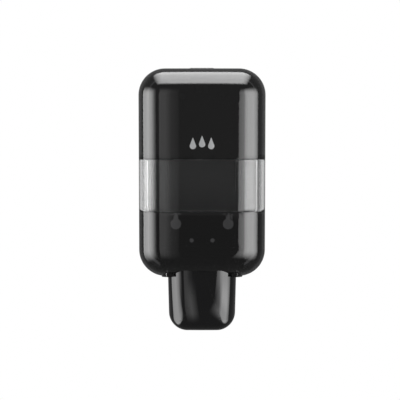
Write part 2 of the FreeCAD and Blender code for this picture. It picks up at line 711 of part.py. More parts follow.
def pump_lifter():
    """A fork under the pump's collar, carried on two bosses along the guide rods."""
    top = size("lifter_top_z")
    low = top - size("lifter_wall")
    half = size("lifter_half")
    back = size("lifter_back_y")
    plate = block("lifter_plate", (-half, half), (size("lifter_front_y"), back), (low, top))
    bridge = block("lifter_bridge", (-size("rod_x"), size("rod_x")),
                   (size("rod_y") - size("bridge_half"),
                    size("rod_y") + size("bridge_half")), (low, top))

    def boss(side, tag):
        return cylinder("lifter_boss_" + tag, "z", size("boss_radius"), low,
                        size("boss_top_z"), X=size("rod_x") * side, Y=size("rod_y"))

    def ear(side, tag):
        reach = size("ear_half")
        return block("lifter_ear_" + tag, mirrored(side, half, half + size("bracket_wall")),
                     (size("pump_y") - reach, size("pump_y") + reach),
                     (size("ear_low_z"), top))

    def openings(side, tag):
        bore = cylinder("boss_bore_" + tag, "z", size("bush_radius"), low - OVER, FAR,
                        X=size("rod_x") * side, Y=size("rod_y"))
        high = size("drive_pin") + size("slot_play")
        slot = block("ear_slot_" + tag, mirrored(side, half - OVER, half + FAR),
                     (size("pump_y") - size("slot_half"),
                      size("pump_y") + size("slot_half")),
                     (size("drive_pin_z") - high, size("drive_pin_z") + high))
        return fuse("lifter_openings_" + tag, bore, slot)

    reach = size("fork_half")
    fork_end = cylinder("fork_round", "z", reach, -FAR, FAR, Y=size("pump_y"))
    fork_way = block("fork_way", (-reach, reach), (-FAR, size("pump_y")), (-FAR, FAR))
    solid = fuse("lifter_solid", plate, bridge, *both_sides(boss), *both_sides(ear))
    keep("pump_lifter", cut("pump_lifter", solid, fork_end, fork_way,
                            *both_sides(openings)))


def fork_liner():
    """A soft lining in the fork, with a lip on top that grips the pump's collar."""
    top = size("lifter_top_z")
    low = top - size("lifter_wall")
    outer = size("fork_half")
    inner = outer - size("fork_liner_wall")
    front = size("lifter_front_y")

    def stadium(name, reach, first, last, start):
        end = cylinder(name + "_round", "z", reach, first, last, Y=size("pump_y"))
        way = block(name + "_way", (-reach, reach), (start, size("pump_y")), (first, last))
        return fuse(name, end, way)

    body = stadium("liner_body", outer, low, top, front)
    lip = stadium("liner_lip", outer + size("liner_lip_width"), top,
                  top + size("liner_lip"), front)
    room = stadium("liner_room", inner, low - OVER, FAR, front - OVER)
    keep("fork_liner", cut("fork_liner", fuse("liner_whole", body, lip), room))


def lifter_bushes():
    """A sliding sleeve in each boss."""
    low = size("lifter_top_z") - size("lifter_wall")

    def bush(side, tag):
        x = size("rod_x") * side
        sleeve = cylinder("bush_sleeve_" + tag, "z", size("bush_radius"), low,
                          size("boss_top_z"), X=x, Y=size("rod_y"))
        bore = cylinder("bush_bore_" + tag, "z", size("rod_radius") + size("fit"),
                        low - OVER, FAR, X=x, Y=size("rod_y"))
        return cut("bush_" + tag, sleeve, bore)
    keep("lifter_bushes", group("lifter_bushes", both_sides(bush)))


# ---------------------------------------------------------------- lever
def lever_block(name, inset, top):
    """The lever's form drawn in by inset.

    Its rounded plan is turned about the cover's hinge, so that the cover swings past
    it, and its front view has rounded lower corners and a rounded toe."""
    reach = size("lever_reach") - inset
    arc = cylinder(name + "_arc", "x", reach, -FAR, FAR, Y=size("hinge_y"),
                   Z=size("hinge_z"))
    low = size("lever_bottom_z") + inset
    slab = block(name + "_slab", (-FAR, FAR), (-FAR, size("hinge_y")), (low, top))
    rough = common(name + "_rough", arc, slab)

    def toe(edge):
        middle = edge.CenterOfMass
        return (middle.y < size("lever_back_y").value
                and abs(middle.z - low.value) < CLOSE and abs(middle.x) < CLOSE)
    rounded = fillet(name + "_toe", rough, size("lever_toe") - inset, toe)
    face = prism(name + "_face", "XZ_Plane", FAR,
                 (size("lever_width_top") - inset * 2, size("lever_width_bottom") - inset * 2,
                  low, as_size(0), size("lever_corner") - inset))
    front = size("hinge_y") - reach - size("lever_plan_over")
    plan_width = size("lever_width_top") - inset * 2 + size("lever_plan_over")
    plan = new_body(name + "_plan")
    sketch = sketch_on(plan, "XY_Plane", name + "_plan_outline", offset=size("hinge_z"))
    rounded_outline(sketch, plan_width, plan_width, front, size("lever_plan_back_y"),
                    size("lever_plan_corner") - inset)
    turned = doc.addObject("Part::Revolution", name + "_turned")
    turned.Source = sketch
    turned.Axis = Vec(1, 0, 0)
    turned.setExpression("Base.y", size("hinge_y").text)
    turned.setExpression("Base.z", size("hinge_z").text)
    turned.Angle = LEVER_SWEEP
    turned.Symmetric = True
    turned.Solid = True
    return common(name, rounded, face, turned)


def lever_front():
    """The push bar: a thin moulding, open at the top and at the rear."""
    outer = lever_block("lever_outer", as_size(0), size("lever_top_z"))
    inner = lever_block("lever_inner", size("lever_wall"), as_size(0))
    rear = block("lever_rear_trim", (-FAR, FAR), (size("lever_back_y"), FAR), (-FAR, FAR))
    shoulder = block("lever_shoulder_trim", (-FAR, FAR), (size("lever_shoulder_y"), FAR),
                     (size("lever_shoulder_z"), FAR))
    hollow = cut("lever_hollow", outer, inner, rear, shoulder)

    def boss(side, tag):
        return cylinder("lever_boss_" + tag, "y", size("small_boss"),
                        size("hinge_y") - size("lever_reach") + OVER, size("web_front_y"),
                        X=size("lever_screw_x") * side, Z=size("lever_screw_z"))

    def pilot(side, tag):
        return cylinder("lever_pilot_" + tag, "y", size("small_shank"),
                        size("web_front_y") - size("screw_bite"), 0, X=size("lever_screw_x") * side,
                        Z=size("lever_screw_z"))
    pivot = cylinder("lever_pivot_hole", "x", size("pivot_pin") + size("fit"), -FAR, FAR,
                     Y=size("pivot_y"), Z=size("pivot_z"))
    keep("lever_front", cut("lever_front", fuse("lever_shell", hollow, *both_sides(boss)),
                            pivot, *both_sides(pilot)))


def lever_frame():
    """The stiff frame behind the push bar: a pivot tube, a web and two drive arms."""
    tube = cylinder("frame_tube", "x", size("pivot_tube"), -size("pivot_tube_half"),
                    size("pivot_tube_half"), Y=size("pivot_y"), Z=size("pivot_z"))
    front = size("web_front_y")
    web = block("frame_web", (-size("web_half"), size("web_half")),
                (front, front + size("web_wall")), (size("web_low_z"),
                                                    size("lever_top_z")))
    gusset = block("frame_gusset", (-size("web_half"), size("web_half")),
                   (front, size("pivot_y")),
                   (size("pivot_z") - size("gusset_half"),
                    size("pivot_z") + size("gusset_half")))

    def arm(side, tag):
        span = mirrored(side, size("arm_in"), size("arm_out"))
        pin_z = size("drive_pin_z")
        end = size("arm_end")
        bar = block("arm_bar_" + tag, span, (size("pivot_y"), size("pump_y")),
                    (pin_z - end, pin_z + end))
        eye = cylinder("arm_eye_" + tag, "x", end, span[0], span[1], Y=size("pump_y"),
                       Z=pin_z)
        return fuse("arm_" + tag, bar, eye)

    def holes(side, tag):
        low, high = mirrored(side, size("arm_in") - OVER, size("arm_out") + OVER)
        pin = cylinder("arm_pin_hole_" + tag, "x", size("drive_pin"), low, high,
                       Y=size("pump_y"), Z=size("drive_pin_z"))
        hole = cylinder("web_screw_hole_" + tag, "y", size("small_shank"), front - OVER, 0,
                        X=size("lever_screw_x") * side, Z=size("lever_screw_z"))
        return fuse("frame_holes_" + tag, pin, hole)

    bore = cylinder("frame_bore", "x", size("pivot_pin") + size("fit"), -FAR, FAR,
                    Y=size("pivot_y"), Z=size("pivot_z"))
    solid = fuse("frame_solid", tube, web, gusset, *both_sides(arm))
    keep("lever_frame", cut("lever_frame", solid, bore, *both_sides(holes)))


def lever_fittings():
    """Screws, drive pins, the pivot pin with its bushes and clips."""
    under = size("web_front_y") + size("web_wall")

    def lever_screw(side, tag):
        """Driven from the rear, so its head is towards the wall."""
        x = size("lever_screw_x") * side
        z = size("lever_screw_z")
        stem = cylinder("lever_screw_stem_" + tag, "y", size("small_shank"),
                        size("web_front_y") - size("screw_bite"), under, X=x, Z=z)
        cap = cylinder("lever_screw_cap_" + tag, "y", size("small_head"), under,
                       under + size("small_head_height"), X=x, Z=z)
        narrow = size("slot_narrow")
        slot = block("lever_screw_slot_" + tag,
                     (x - size("small_head"), x + size("small_head")),
                     (under + size("small_head_height") - size("slot_depth"), 0),
                     (z - narrow, z + narrow))
        return cut("lever_screw_" + tag, fuse("lever_screw_whole_" + tag, stem, cap), slot)
    keep("lever_screws", group("lever_screws", both_sides(lever_screw)))

    def drive_pin(side, tag):
        low, high = mirrored(side, size("drive_pin_inner"), size("arm_out"))
        return cylinder("drive_pin_" + tag, "x", size("drive_pin"), low, high,
                        Y=size("pump_y"), Z=size("drive_pin_z"))
    keep("drive_pins", group("drive_pins", both_sides(drive_pin)))

    half = size("bracket_half")
    tip = half + size("pin_overhang")
    keep("lever_pivot_pin", cylinder("lever_pivot_pin", "x", size("pivot_pin"), -tip, tip,
                                     Y=size("pivot_y"), Z=size("pivot_z")))

    def ring(name, side, near, far, radius, inner):
        low, high = mirrored(side, near, far)
        disc = cylinder(name + "_disc", "x", radius, low, high, Y=size("pivot_y"),
                        Z=size("pivot_z"))
        bore = cylinder(name + "_bore", "x", inner, low - OVER, high + OVER,
                        Y=size("pivot_y"), Z=size("pivot_z"))
        return cut(name, disc, bore)

    def bush(side, tag):
        return ring("pivot_bush_" + tag, side,
                    size("lever_width_top") / 2 + size("bush_gap"),
                    half - size("bracket_wall"), size("bush_outer"), size("pivot_pin"))
    keep("pivot_bushes", group("pivot_bushes", both_sides(bush)))

    def clip(side, tag):
        return ring("pivot_clip_" + tag, side, half, half + size("clip_wall"),
                    size("clip_outer"), size("pivot_pin"))
    keep("pivot_clips", group("pivot_clips", both_sides(clip)))


# ---------------------------------------------------------------- lock
def lock_housing():
    """A well for the latch slider, open at the top, with a slot for its hook."""
    half = size("housing_half")
    back = size("housing_back_y")
    outside = block("housing_outside", (-half, half), (size("housing_front_y"), back),
                    (size("housing_low_z"), size("housing_top_z")))

    def ear(side, tag):
        return block("housing_ear_" + tag,
                     mirrored(side, half - OVER, half + size("ear_width")),
                     (back - size("ear_wall"), back), (size("ear_low"), size("ear_high")))

    def hole(side, tag):
        return cylinder("housing_hole_" + tag, "y", size("screw_shank"),
                        back - size("ear_wall") - OVER, back + OVER,
                        X=size("lock_screw_x") * side, Z=size("lock_screw_z"))
    play = size("slider_play")
    well = block("housing_well", (-size("slider_half") - play, size("slider_half") + play),
                 (size("slider_front_y") - play, size("slider_back_y") + play),
                 (size("housing_floor_z"), FAR))
    slot_half = size("hook_half") + size("notch_gap")
    slot = block("housing_slot", (-slot_half, slot_half),
                 (size("housing_front_y") - OVER, size("slider_front_y")),
                 (size("hook_low_z") - size("latch_travel") - OVER, FAR))
    solid = fuse("housing_solid", outside, *both_sides(ear))
    keep("lock_housing", cut("lock_housing", solid, well, slot, *both_sides(hole)))


def lock_screws():
    def one(side, tag):
        return screw("lock_screw_" + tag, size("screw_shank"), size("screw_head"),
                     size("screw_head_height"), size("housing_back_y") - size("ear_wall"),
                     size("screw_end_y"), size("lock_screw_x") * side,
                     size("lock_screw_z"))
    keep("lock_screws", group("lock_screws", both_sides(one)))


def latch_slider():
    """Slides down in the housing; its hook reaches forward under the catch plate."""
    half = size("slider_half")
    body = block("slider_body", (-half, half),
                 (size("slider_front_y"), size("slider_back_y")),
                 (size("slider_low_z"), size("slider_top_z")))
    hook = (-size("hook_half"), size("hook_half"))
    arm = block("slider_arm", hook, (size("hook_reach_y"), size("slider_front_y")),
                (size("hook_low_z"), size("hook_top_z")))
    nose = block("slider_nose", hook, (size("hook_reach_y"), size("nose_back_y")),
                 (size("hook_top_z"), size("nose_top_z")))
    pocket = cylinder("slider_pocket", "z", size("barrel_pocket"),
                      size("barrel_pocket_z"), FAR, Y=size("slider_spring_y"))
    seat = cylinder("slider_spring_seat", "z", size("latch_coil_radius") + size("seat_gap"),
                    size("slider_low_z") - OVER, size("slider_low_z") + size("seat_depth"),
                    Y=size("slider_spring_y"))
    keep("latch_slider", cut("latch_slider", fuse("slider_solid", body, arm, nose),
                             pocket, seat))


def lock_button():
    """The push button in the cover's top, with a bore for the key barrel."""
    width = size("button_half") * 2
    body = prism("button_body", "XY_Plane", size("button_top_z") - size("slider_top_z"),
                 (width, width, size("button_front_y"), size("button_back_y"),
                  size("button_corner")), offset=size("slider_top_z"))
    bore = cylinder("button_bore", "z", size("barrel_radius") + size("fit"), 0, FAR,
                    Y=size("slider_spring_y"))
    drilled = cut("button_drilled", body, bore)
    rim = size("button_top_z").value

    def top_rim(edge):
        level = abs(edge.BoundBox.ZMin - rim) < CLOSE and abs(edge.BoundBox.ZMax - rim) < CLOSE
        at_bore = (isinstance(edge.Curve, Part.Circle)
                   and abs(edge.Curve.Radius - bore.Radius.Value) < CLOSE)
        return level and not at_bore
    keep("lock_button", fillet("lock_button", drilled, size("notch_gap"), top_rim))


def key_barrel():
    """A quarter turn barrel with a key slot above and a cam finger below."""
    low = size("barrel_low_z")
    y = size("slider_spring_y")
    stem = cylinder("barrel_stem", "z", size("barrel_radius"), low, size("button_top_z"),
                    Y=y)
    finger = block("barrel_cam", (0, size("cam_reach")),
                   (y - size("cam_half"), y + size("cam_half")),
                   (low, low + size("cam_height")))
    slot = block("barrel_slot", (-size("key_slot_length"), size("key_slot_length")),
                 (y - size("key_slot_half"), y + size("key_slot_half")),
                 (size("button_top_z") - size("key_slot_depth"), FAR))
    keep("key_barrel", cut("key_barrel", fuse("barrel_solid", stem, finger), slot))


def latch_spring():
    """Stands on the floor of the well and lifts the slider."""
    keep("latch_spring", coil("latch_spring", size("latch_coil_radius"),
                              size("latch_coil_wire"), size("latch_coil_pitch"),
                              size("housing_floor_z"),
                              size("slider_low_z") + size("seat_depth"), 0,
                              size("slider_spring_y")))


# ---------------------------------------------------------------- build and write
for build_piece in (back_plate, pump_bracket, bracket_screws, guide_rods, return_springs,
                    pump_lifter, fork_liner, lifter_bushes, lever_front, lever_frame,
                    lever_fittings, cover, hinge_pins, catch_plate, emblem, lock_housing,
                    lock_screws, latch_slider, lock_button, key_barrel, latch_spring):
    build_piece()
doc.recompute()

for thing in doc.Objects:
    if {"Invalid", "Error"} & set(thing.State):
        raise RuntimeError(f"{thing.Name} failed: {thing.State}")
for piece in PARTS:
    if piece.Shape.isNull() or not piece.Shape.isValid():
        raise RuntimeError(f"{piece.Label} has no valid shape")
for piece in PARTS:
    box = piece.Shape.BoundBox
    print(f"{piece.Label:22s} solids {len(piece.Shape.Solids)}  volume "
          f"{piece.Shape.Volume:9.0f}  x {box.XMin:7.2f} {box.XMax:7.2f}  "
          f"y {box.YMin:8.2f} {box.YMax:7.2f}  z {box.ZMin:8.2f} {box.ZMax:7.2f}")
    piece.Shape.exportStep(f"parts/{piece.Label}.step")
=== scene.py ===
import json
import math

import bmesh
import bpy
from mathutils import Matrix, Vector

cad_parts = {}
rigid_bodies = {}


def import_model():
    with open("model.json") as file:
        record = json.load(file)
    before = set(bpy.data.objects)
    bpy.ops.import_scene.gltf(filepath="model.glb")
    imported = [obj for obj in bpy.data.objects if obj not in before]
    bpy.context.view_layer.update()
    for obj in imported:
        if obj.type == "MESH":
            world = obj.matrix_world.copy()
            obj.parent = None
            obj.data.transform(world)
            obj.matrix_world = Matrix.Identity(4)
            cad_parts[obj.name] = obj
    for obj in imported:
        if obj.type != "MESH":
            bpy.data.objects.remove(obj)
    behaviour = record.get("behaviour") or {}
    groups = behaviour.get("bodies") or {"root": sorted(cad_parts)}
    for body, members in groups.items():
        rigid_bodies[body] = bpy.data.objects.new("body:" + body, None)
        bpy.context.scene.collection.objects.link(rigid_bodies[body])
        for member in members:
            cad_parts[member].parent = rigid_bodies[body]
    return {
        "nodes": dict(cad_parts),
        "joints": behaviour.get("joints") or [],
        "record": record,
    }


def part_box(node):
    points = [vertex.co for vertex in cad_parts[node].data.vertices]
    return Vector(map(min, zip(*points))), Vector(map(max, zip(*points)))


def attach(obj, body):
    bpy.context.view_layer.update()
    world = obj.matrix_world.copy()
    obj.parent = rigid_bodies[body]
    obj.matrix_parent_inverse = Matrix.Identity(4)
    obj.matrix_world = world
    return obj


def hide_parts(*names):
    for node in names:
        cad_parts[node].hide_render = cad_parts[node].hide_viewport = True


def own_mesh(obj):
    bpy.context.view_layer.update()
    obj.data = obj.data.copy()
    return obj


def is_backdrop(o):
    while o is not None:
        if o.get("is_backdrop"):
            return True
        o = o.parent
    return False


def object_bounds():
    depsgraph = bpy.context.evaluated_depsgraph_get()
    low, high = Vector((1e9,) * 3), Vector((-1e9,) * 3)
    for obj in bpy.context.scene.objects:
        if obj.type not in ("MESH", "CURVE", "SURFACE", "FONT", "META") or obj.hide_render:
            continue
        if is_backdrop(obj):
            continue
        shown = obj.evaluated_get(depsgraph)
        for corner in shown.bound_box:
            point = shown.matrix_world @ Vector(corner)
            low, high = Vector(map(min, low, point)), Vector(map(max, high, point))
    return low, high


# Wall mounted soap dispenser.  Metres, in the frame of the CAD model: X to the right,
# Y into the wall, Z up, origin on the wall face of the back plate.

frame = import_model()
CAD_LOW, CAD_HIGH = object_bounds()

MM = 0.001
FAR = 200.0 * MM        # past everything, for tools that cut right through
CLOSE = 0.4 * MM        # how near a row of points lies to the one that it keeps crisp

# ---------------------------------------------------------------- sizes
# Read from the frame where a node gives them.
UPPER_LOW, UPPER_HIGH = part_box("cover_upper")
WINDOW_LOW, WINDOW_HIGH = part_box("cover_window")
LEVER_LOW, LEVER_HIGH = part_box("lever_front")
BUTTON_LOW, BUTTON_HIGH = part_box("lock_button")
HINGE = Vector(next(j for j in frame["joints"] if j["name"] == "cover_hinge")["pos_m"])
PIVOT = Vector(next(j for j in frame["joints"] if j["name"] == "lever_pivot")["pos_m"])

# The cover: a drafted, round cornered tray with a crowned front.
COVER_FRONT = UPPER_LOW.y
COVER_REAR = UPPER_HIGH.y
COVER_TOP = 91.0 * MM
COVER_HALF_TOP = 56.1 * MM
COVER_HALF_BOTTOM = 55.5 * MM
COVER_CORNER = 24.0 * MM
COVER_EDGE = 22.0 * MM
COVER_CROWN = 210.0 * MM
COVER_WALL = 2.5 * MM
COVER_DRAFT = math.tan(math.radians(0.6))
SEAM = 0.18 * MM
RIM_SHARE = 0.006           # how near the face's first row lies to the rolled edge
FIRST_GUESS = -80.0 * MM    # where the search for the rolled edge's start begins

# The opening for the lever, the lip round it, and the notch for the button.
MOUTH_HALF = 31.2 * MM
MOUTH_FRONT = -105.5 * MM
MOUTH_BACK = -35.0 * MM
MOUTH_CORNER = 18.0 * MM
MOUTH_TOP = -80.0 * MM
LIP_WIDTH = 3.8 * MM
LIP_LOW = -90.8 * MM
LIP_TOP = -86.6 * MM
LIP_FRONT = -100.6 * MM
NOTCH_GAP = 0.5 * MM
KNUCKLE = 3.0 * MM
LUG_MIDDLE = 30.0 * MM
LUG_HALF = 2.4 * MM
KNUCKLE_LENGTH = 4.0 * MM
FOOT_LIFT = 0.3 * MM
PIN_BORE = 1.55 * MM

# The lever: its front is an arc about the cover's hinge.  It is made too tall by the
# overshoot and cut level, which leaves its top open.
LEVER_REACH = 96.0 * MM
LEVER_CROWN = 85.0 * MM
LEVER_HALF_TOP = 30.8 * MM
LEVER_HALF_BOTTOM = 28.8 * MM
LEVER_CORNER = 16.0 * MM
LEVER_SIDE_ROUND = 17.0 * MM
LEVER_TOE_ROUND = 10.0 * MM
LEVER_WALL = 2.5 * MM
LEVER_SHOULDER = (-85.0 * MM, -86.0 * MM)
LEVER_OVERSHOOT = 50.0 * MM
LEVER_BOSS = Vector((12.0, -97.5, -89.0)) * MM
LEVER_BOSS_RADIUS = 3.4 * MM
LEVER_BOSS_ROOT = -102.5 * MM
LEVER_PILOT = 1.25 * MM
LEVER_PILOT_DEPTH = 3.4 * MM
PIVOT_HOLE = 2.06 * MM

# The three soap drops on the front.
DROP_RADIUS = 2.7 * MM
DROP_RISE = 7.6 * MM
DROP_SPACING = 7.9 * MM
DROP_LIFT = 1.6 * MM
DROP_Z = 22.6 * MM
DROP_PROUD = 0.4 * MM

# The springs: return springs under the bracket, and the one behind the latch.
RETURN_X = 28.0 * MM
RETURN_Y = -48.0 * MM
RETURN_FOOT = -75.0 * MM
RETURN_SEAT = -54.0 * MM
LATCH_Y = -16.0 * MM
LATCH_SEAT = 57.0 * MM
LATCH_TOP = 67.0 * MM

# Camera, and what lights and surrounds the dispenser.  Brightnesses are shares of the
# plain white beyond it.
CAMERA_PLACE = Vector((-1.77 * MM, -3.235, 19.2 * MM))
CAMERA_AIM = Vector((-1.77 * MM, -35.0 * MM, -24.9 * MM))
CAMERA_LENS = 326.2
ROOM_IN_GLOSS = 0.23    # the room as polished faces mirror it
ROOM_LIGHT = 0.50       # the room as it lights dull faces
ROOM_THROUGH = 0.60     # the room seen slantwise through the window
HORIZON = -0.012        # height of the line between the room's lower and upper tone
HORIZON_BLUR = 0.004
ROOM_STEP = 0.15        # how far those two tones lie from their middle
STRAIGHT_ON = 0.88      # how straight a look towards the wall counts as seeing white
FLOOR_Z = -1.9
FLOOR_HALF = 2.4
LAMP_REACH = 1.8        # from the dispenser's middle to every light panel

# Where the light panels lie, in degrees, and how they dim at the bottom and the top.
LEFT_SIDE = (36, 108)
STRIP_SIDE = (11.5, 24)
RIGHT_SIDE = (-89, -18)
TALL = (-43, 30)
TALL_FADE = (0.56, 0.34)
LOW = (-58, -6)


# ---------------------------------------------------------------- mesh tools
def mesh_piece(name, points, faces):
    """An object from points and faces, with its faces turned outwards."""
    bm = bmesh.new()
    corners = [bm.verts.new(point) for point in points]
    for face in faces:
        bm.faces.new([corners[index] for index in face])
    bmesh.ops.recalc_face_normals(bm, faces=bm.faces)
    mesh = bpy.data.meshes.new(name)
    bm.to_mesh(mesh)
    bm.free()
    piece = bpy.data.objects.new(name, mesh)
    bpy.context.scene.collection.objects.link(piece)
    return piece


def smooth(piece, angle=28.0):
    """Smooth shading, with edges sharper than the angle left crisp."""
    piece.data.shade_smooth()
    piece.data.set_sharp_from_angle(angle=math.radians(angle))
    return piece


def settle(piece):
    """Turn the piece's modifiers into its own mesh."""
    graph = bpy.context.evaluated_depsgraph_get()
    mesh = bpy.data.meshes.new_from_object(piece.evaluated_get(graph))
    piece.modifiers.clear()
    piece.data = mesh
    mesh.name = piece.name
    return piece


def carve(piece, tool, how="DIFFERENCE"):
    """Cut the tool out of the piece, or weld it on, and throw the tool away."""
    step = piece.modifiers.new("carve", "BOOLEAN")
    step.operation = how
    step.solver = "EXACT"
    step.object = tool
    bpy.context.view_layer.update()
    settle(piece)
    bpy.data.objects.remove(tool)
    return piece


def bar(name, loop, start, end, axis="z"):
    """A straight bar: a closed loop of pairs, carried along an axis."""
    place = {"z": lambda a, b, t: (a, b, t),
             "x": lambda a, b, t: (t, a, b),
             "y": lambda a, b, t: (a, t, b)}[axis]
    count = len(loop)
    points = [place(a, b, t) for t in (start, end) for a, b in loop]
    sides = [(i, (i + 1) % count, count + (i + 1) % count, count + i)
             for i in range(count)]
    ends = [tuple(range(count)), tuple(range(count, 2 * count))]
    return mesh_piece(name, points, sides + ends)


def box_loop(low_a, high_a, low_b, high_b):
    return [(low_a, low_b), (high_a, low_b), (high_a, high_b), (low_a, high_b)]


def round_loop(a, b, radius, steps=40):
    turn = 2 * math.pi / steps
    return [(a + radius * math.cos(turn * i), b + radius * math.sin(turn * i))
            for i in range(steps)]


def soften(piece, width, segments=3, angle=40.0):
    """Round the piece's sharp edges."""
    step = piece.modifiers.new("soften", "BEVEL")
    step.width = width
    step.segments = segments
    step.limit_method = "ANGLE"
    step.angle_limit = math.radians(angle)
    step.harden_normals = False
    bpy.context.view_layer.update()
    return settle(piece)


# ---------------------------------------------------------------- moulded trays
def outline(half_top, half_bottom, low, high, corner, arc_steps=22, side_steps=26):
    """Points of a round cornered outline in the XZ plane, with their outward normals.

    The straight sides get close points near their ends, which keeps reflections crisp."""
    centres = [Vector((half_bottom - corner, low + corner)),
               Vector((half_top - corner, high - corner)),
               Vector((corner - half_top, high - corner)),
               Vector((corner - half_bottom, low + corner))]
    normals = []
    for here, there in zip(centres, centres[1:] + centres[:1]):
        along = (there - here).normalized()
        normals.append(Vector((along.y, -along.x)))
    ring = []
    for number, centre in enumerate(centres):
        before = normals[number - 1]
        after = normals[number]
        start = math.atan2(before.y, before.x)
        sweep = (math.atan2(after.y, after.x) - start) % (2 * math.pi)
        for step in range(arc_steps + 1):
            angle = start + sweep * step / arc_steps
            normal = Vector((math.cos(angle), math.sin(angle)))
            ring.append((centre + normal * corner, normal))
        begin = centre + after * corner
        end = centres[(number + 1) % 4] + after * corner
        near = CLOSE / (end - begin).length
        shares = [near] + [i / side_steps for i in range(1, side_steps)] + [1 - near]
        ring += [(begin.lerp(end, share), after) for share in shares]
    return ring


def crowned_front(crown, front):
    """The front is part of an upright cylinder: gives where a ball rolling inside it
    has its centre, which way it touches, and the front's own depth."""
    axis = front + crown

    def touch(x, z, ball):
        y = axis - math.sqrt((crown - ball) ** 2 - x * x)
        return y, Vector((x, y - axis, 0)) / (crown - ball)

    def depth(x, z):
        return axis - math.sqrt(crown * crown - x * x)
    return touch, depth


def swinging_front(reach, crown, hinge):
    """The front is a gently crowned arc turned about the hinge's axis."""
    def touch(x, z, ball):
        span = math.sqrt((crown - ball) ** 2 - x * x)
        out = reach - crown + span
        rise = z - hinge.z
        y = hinge.y - math.sqrt(out * out - rise * rise)
        radial = Vector((0, y - hinge.y, rise)) / out
        return y, (Vector((x, 0, 0)) + radial * span) / (crown - ball)

    def depth(x, z):
        out = reach - crown + math.sqrt(crown * crown - x * x)
        return hinge.y - math.sqrt(out * out - (z - hinge.z) ** 2)
    return touch, depth


def skin(ring, inset, rear, draft, ball_for, front, wall_steps=9, ball_steps=24,
         face_steps=12):
    """One side of a moulded tray: drafted walls, a rolled edge and the front face.

    Gives rows of points from the rear rim inwards, the last of them a single point."""
    touch, depth = front
    tilt = math.atan(draft)
    middle = ring_middle(ring)
    columns = []
    for point, normal in ring:
        ball = ball_for(normal) - inset
        lean = Vector((normal.x * math.cos(tilt), -math.sin(tilt),
                       normal.y * math.cos(tilt)))
        meets = FIRST_GUESS
        for _ in range(5):
            flat = point - normal * (inset - draft * meets)
            centre = Vector((flat.x, meets, flat.y)) - lean * ball
            y, aim = touch(centre.x, centre.z, ball)
            meets = y - math.sin(tilt) * ball
        centre.y = y
        levels = [rear, rear - CLOSE]
        levels += [rear + (meets - rear) * i / wall_steps for i in range(1, wall_steps)]
        levels += [meets + CLOSE]
        column = []
        for level in levels:
            flat = point - normal * (inset - draft * level)
            column.append(Vector((flat.x, level, flat.y)))
        turn = lean.angle(aim)
        for step in range(ball_steps + 1):
            share = step / ball_steps
            way = (lean * math.sin((1 - share) * turn)
                   + aim * math.sin(share * turn)) / math.sin(turn)
            column.append(centre + way * ball)
        edge = column[-1]
        for step in range(1, face_steps):
            share = 1 - RIM_SHARE if step == 1 else 1 - (step - 1) / (face_steps - 1)
            x = edge.x * share
            z = middle + (edge.z - middle) * share
            column.append(Vector((x, depth(x, z), z)))
        columns.append(column)
    return list(zip(*columns)), Vector((0, depth(0, middle), middle))


def ring_middle(ring):
    heights = [point.y for point, normal in ring]
    return (min(heights) + max(heights)) / 2


def tray(name, ring, wall, rear, draft, ball_for, front_for):
    """A closed thin walled tray: its outer skin, its inner skin and the rim between."""
    points = []
    faces = []
    rims = []
    for inset in (0.0, wall):
        rows, pole = skin(ring, inset, rear, draft, ball_for, front_for(inset))
        first = len(points)
        count = len(ring)
        points += [place for row in rows for place in row] + [pole]
        for level in range(len(rows) - 1):
            base = first + level * count
            faces += [(base + i, base + (i + 1) % count, base + count + (i + 1) % count,
                       base + count + i) for i in range(count)]
        last = first + (len(rows) - 1) * count
        faces += [(last + i, last + (i + 1) % count, first + len(rows) * count)
                  for i in range(count)]
        rims.append(first)
    outer, inner = rims
    faces += [(outer + i, outer + (i + 1) % count, inner + (i + 1) % count, inner + i)
              for i in range(count)]
    return mesh_piece(name, points, faces)


def slice_off(piece, height, keep_above, seam=0.0):
    """Cut the piece level, keep one part, close it and ease the new edge."""
    bm = bmesh.new()
    bm.from_mesh(piece.data)
    cut = bmesh.ops.bisect_plane(
        bm, geom=bm.verts[:] + bm.edges[:] + bm.faces[:], dist=1e-7,
        plane_co=(0, 0, height), plane_no=(0, 0, 1),
        clear_inner=keep_above, clear_outer=not keep_above)
    rim = [item for item in cut["geom_cut"] if isinstance(item, bmesh.types.BMEdge)]
    bmesh.ops.edgeloop_fill(bm, edges=rim)
    if seam:
        bmesh.ops.bevel(bm, geom=rim, offset=seam, segments=2, profile=0.5,
                        affect="EDGES", clamp_overlap=True)
    bmesh.ops.recalc_face_normals(bm, faces=bm.faces)
    bm.to_mesh(piece.data)
    bm.free()
    return piece


def copy_of(piece, name):
    twin = bpy.data.objects.new(name, piece.data.copy())
    bpy.context.scene.collection.objects.link(twin)
    return twin


# ---------------------------------------------------------------- the cover
def plan_loop(half, front, back, corner, steps=16):
    """A round cornered opening seen from above, as (x, y) pairs."""
    loop = []
    centres = [(half - corner, front + corner), (half - corner, back - corner),
               (corner - half, back - corner), (corner - half, front + corner)]
    for quarter, (x, y) in enumerate(centres):
        for step in range(steps + 1):
            angle = math.radians(90 * quarter - 90 + 90 * step / steps)
            loop.append((x + corner * math.cos(angle), y + corner * math.sin(angle)))
    return loop


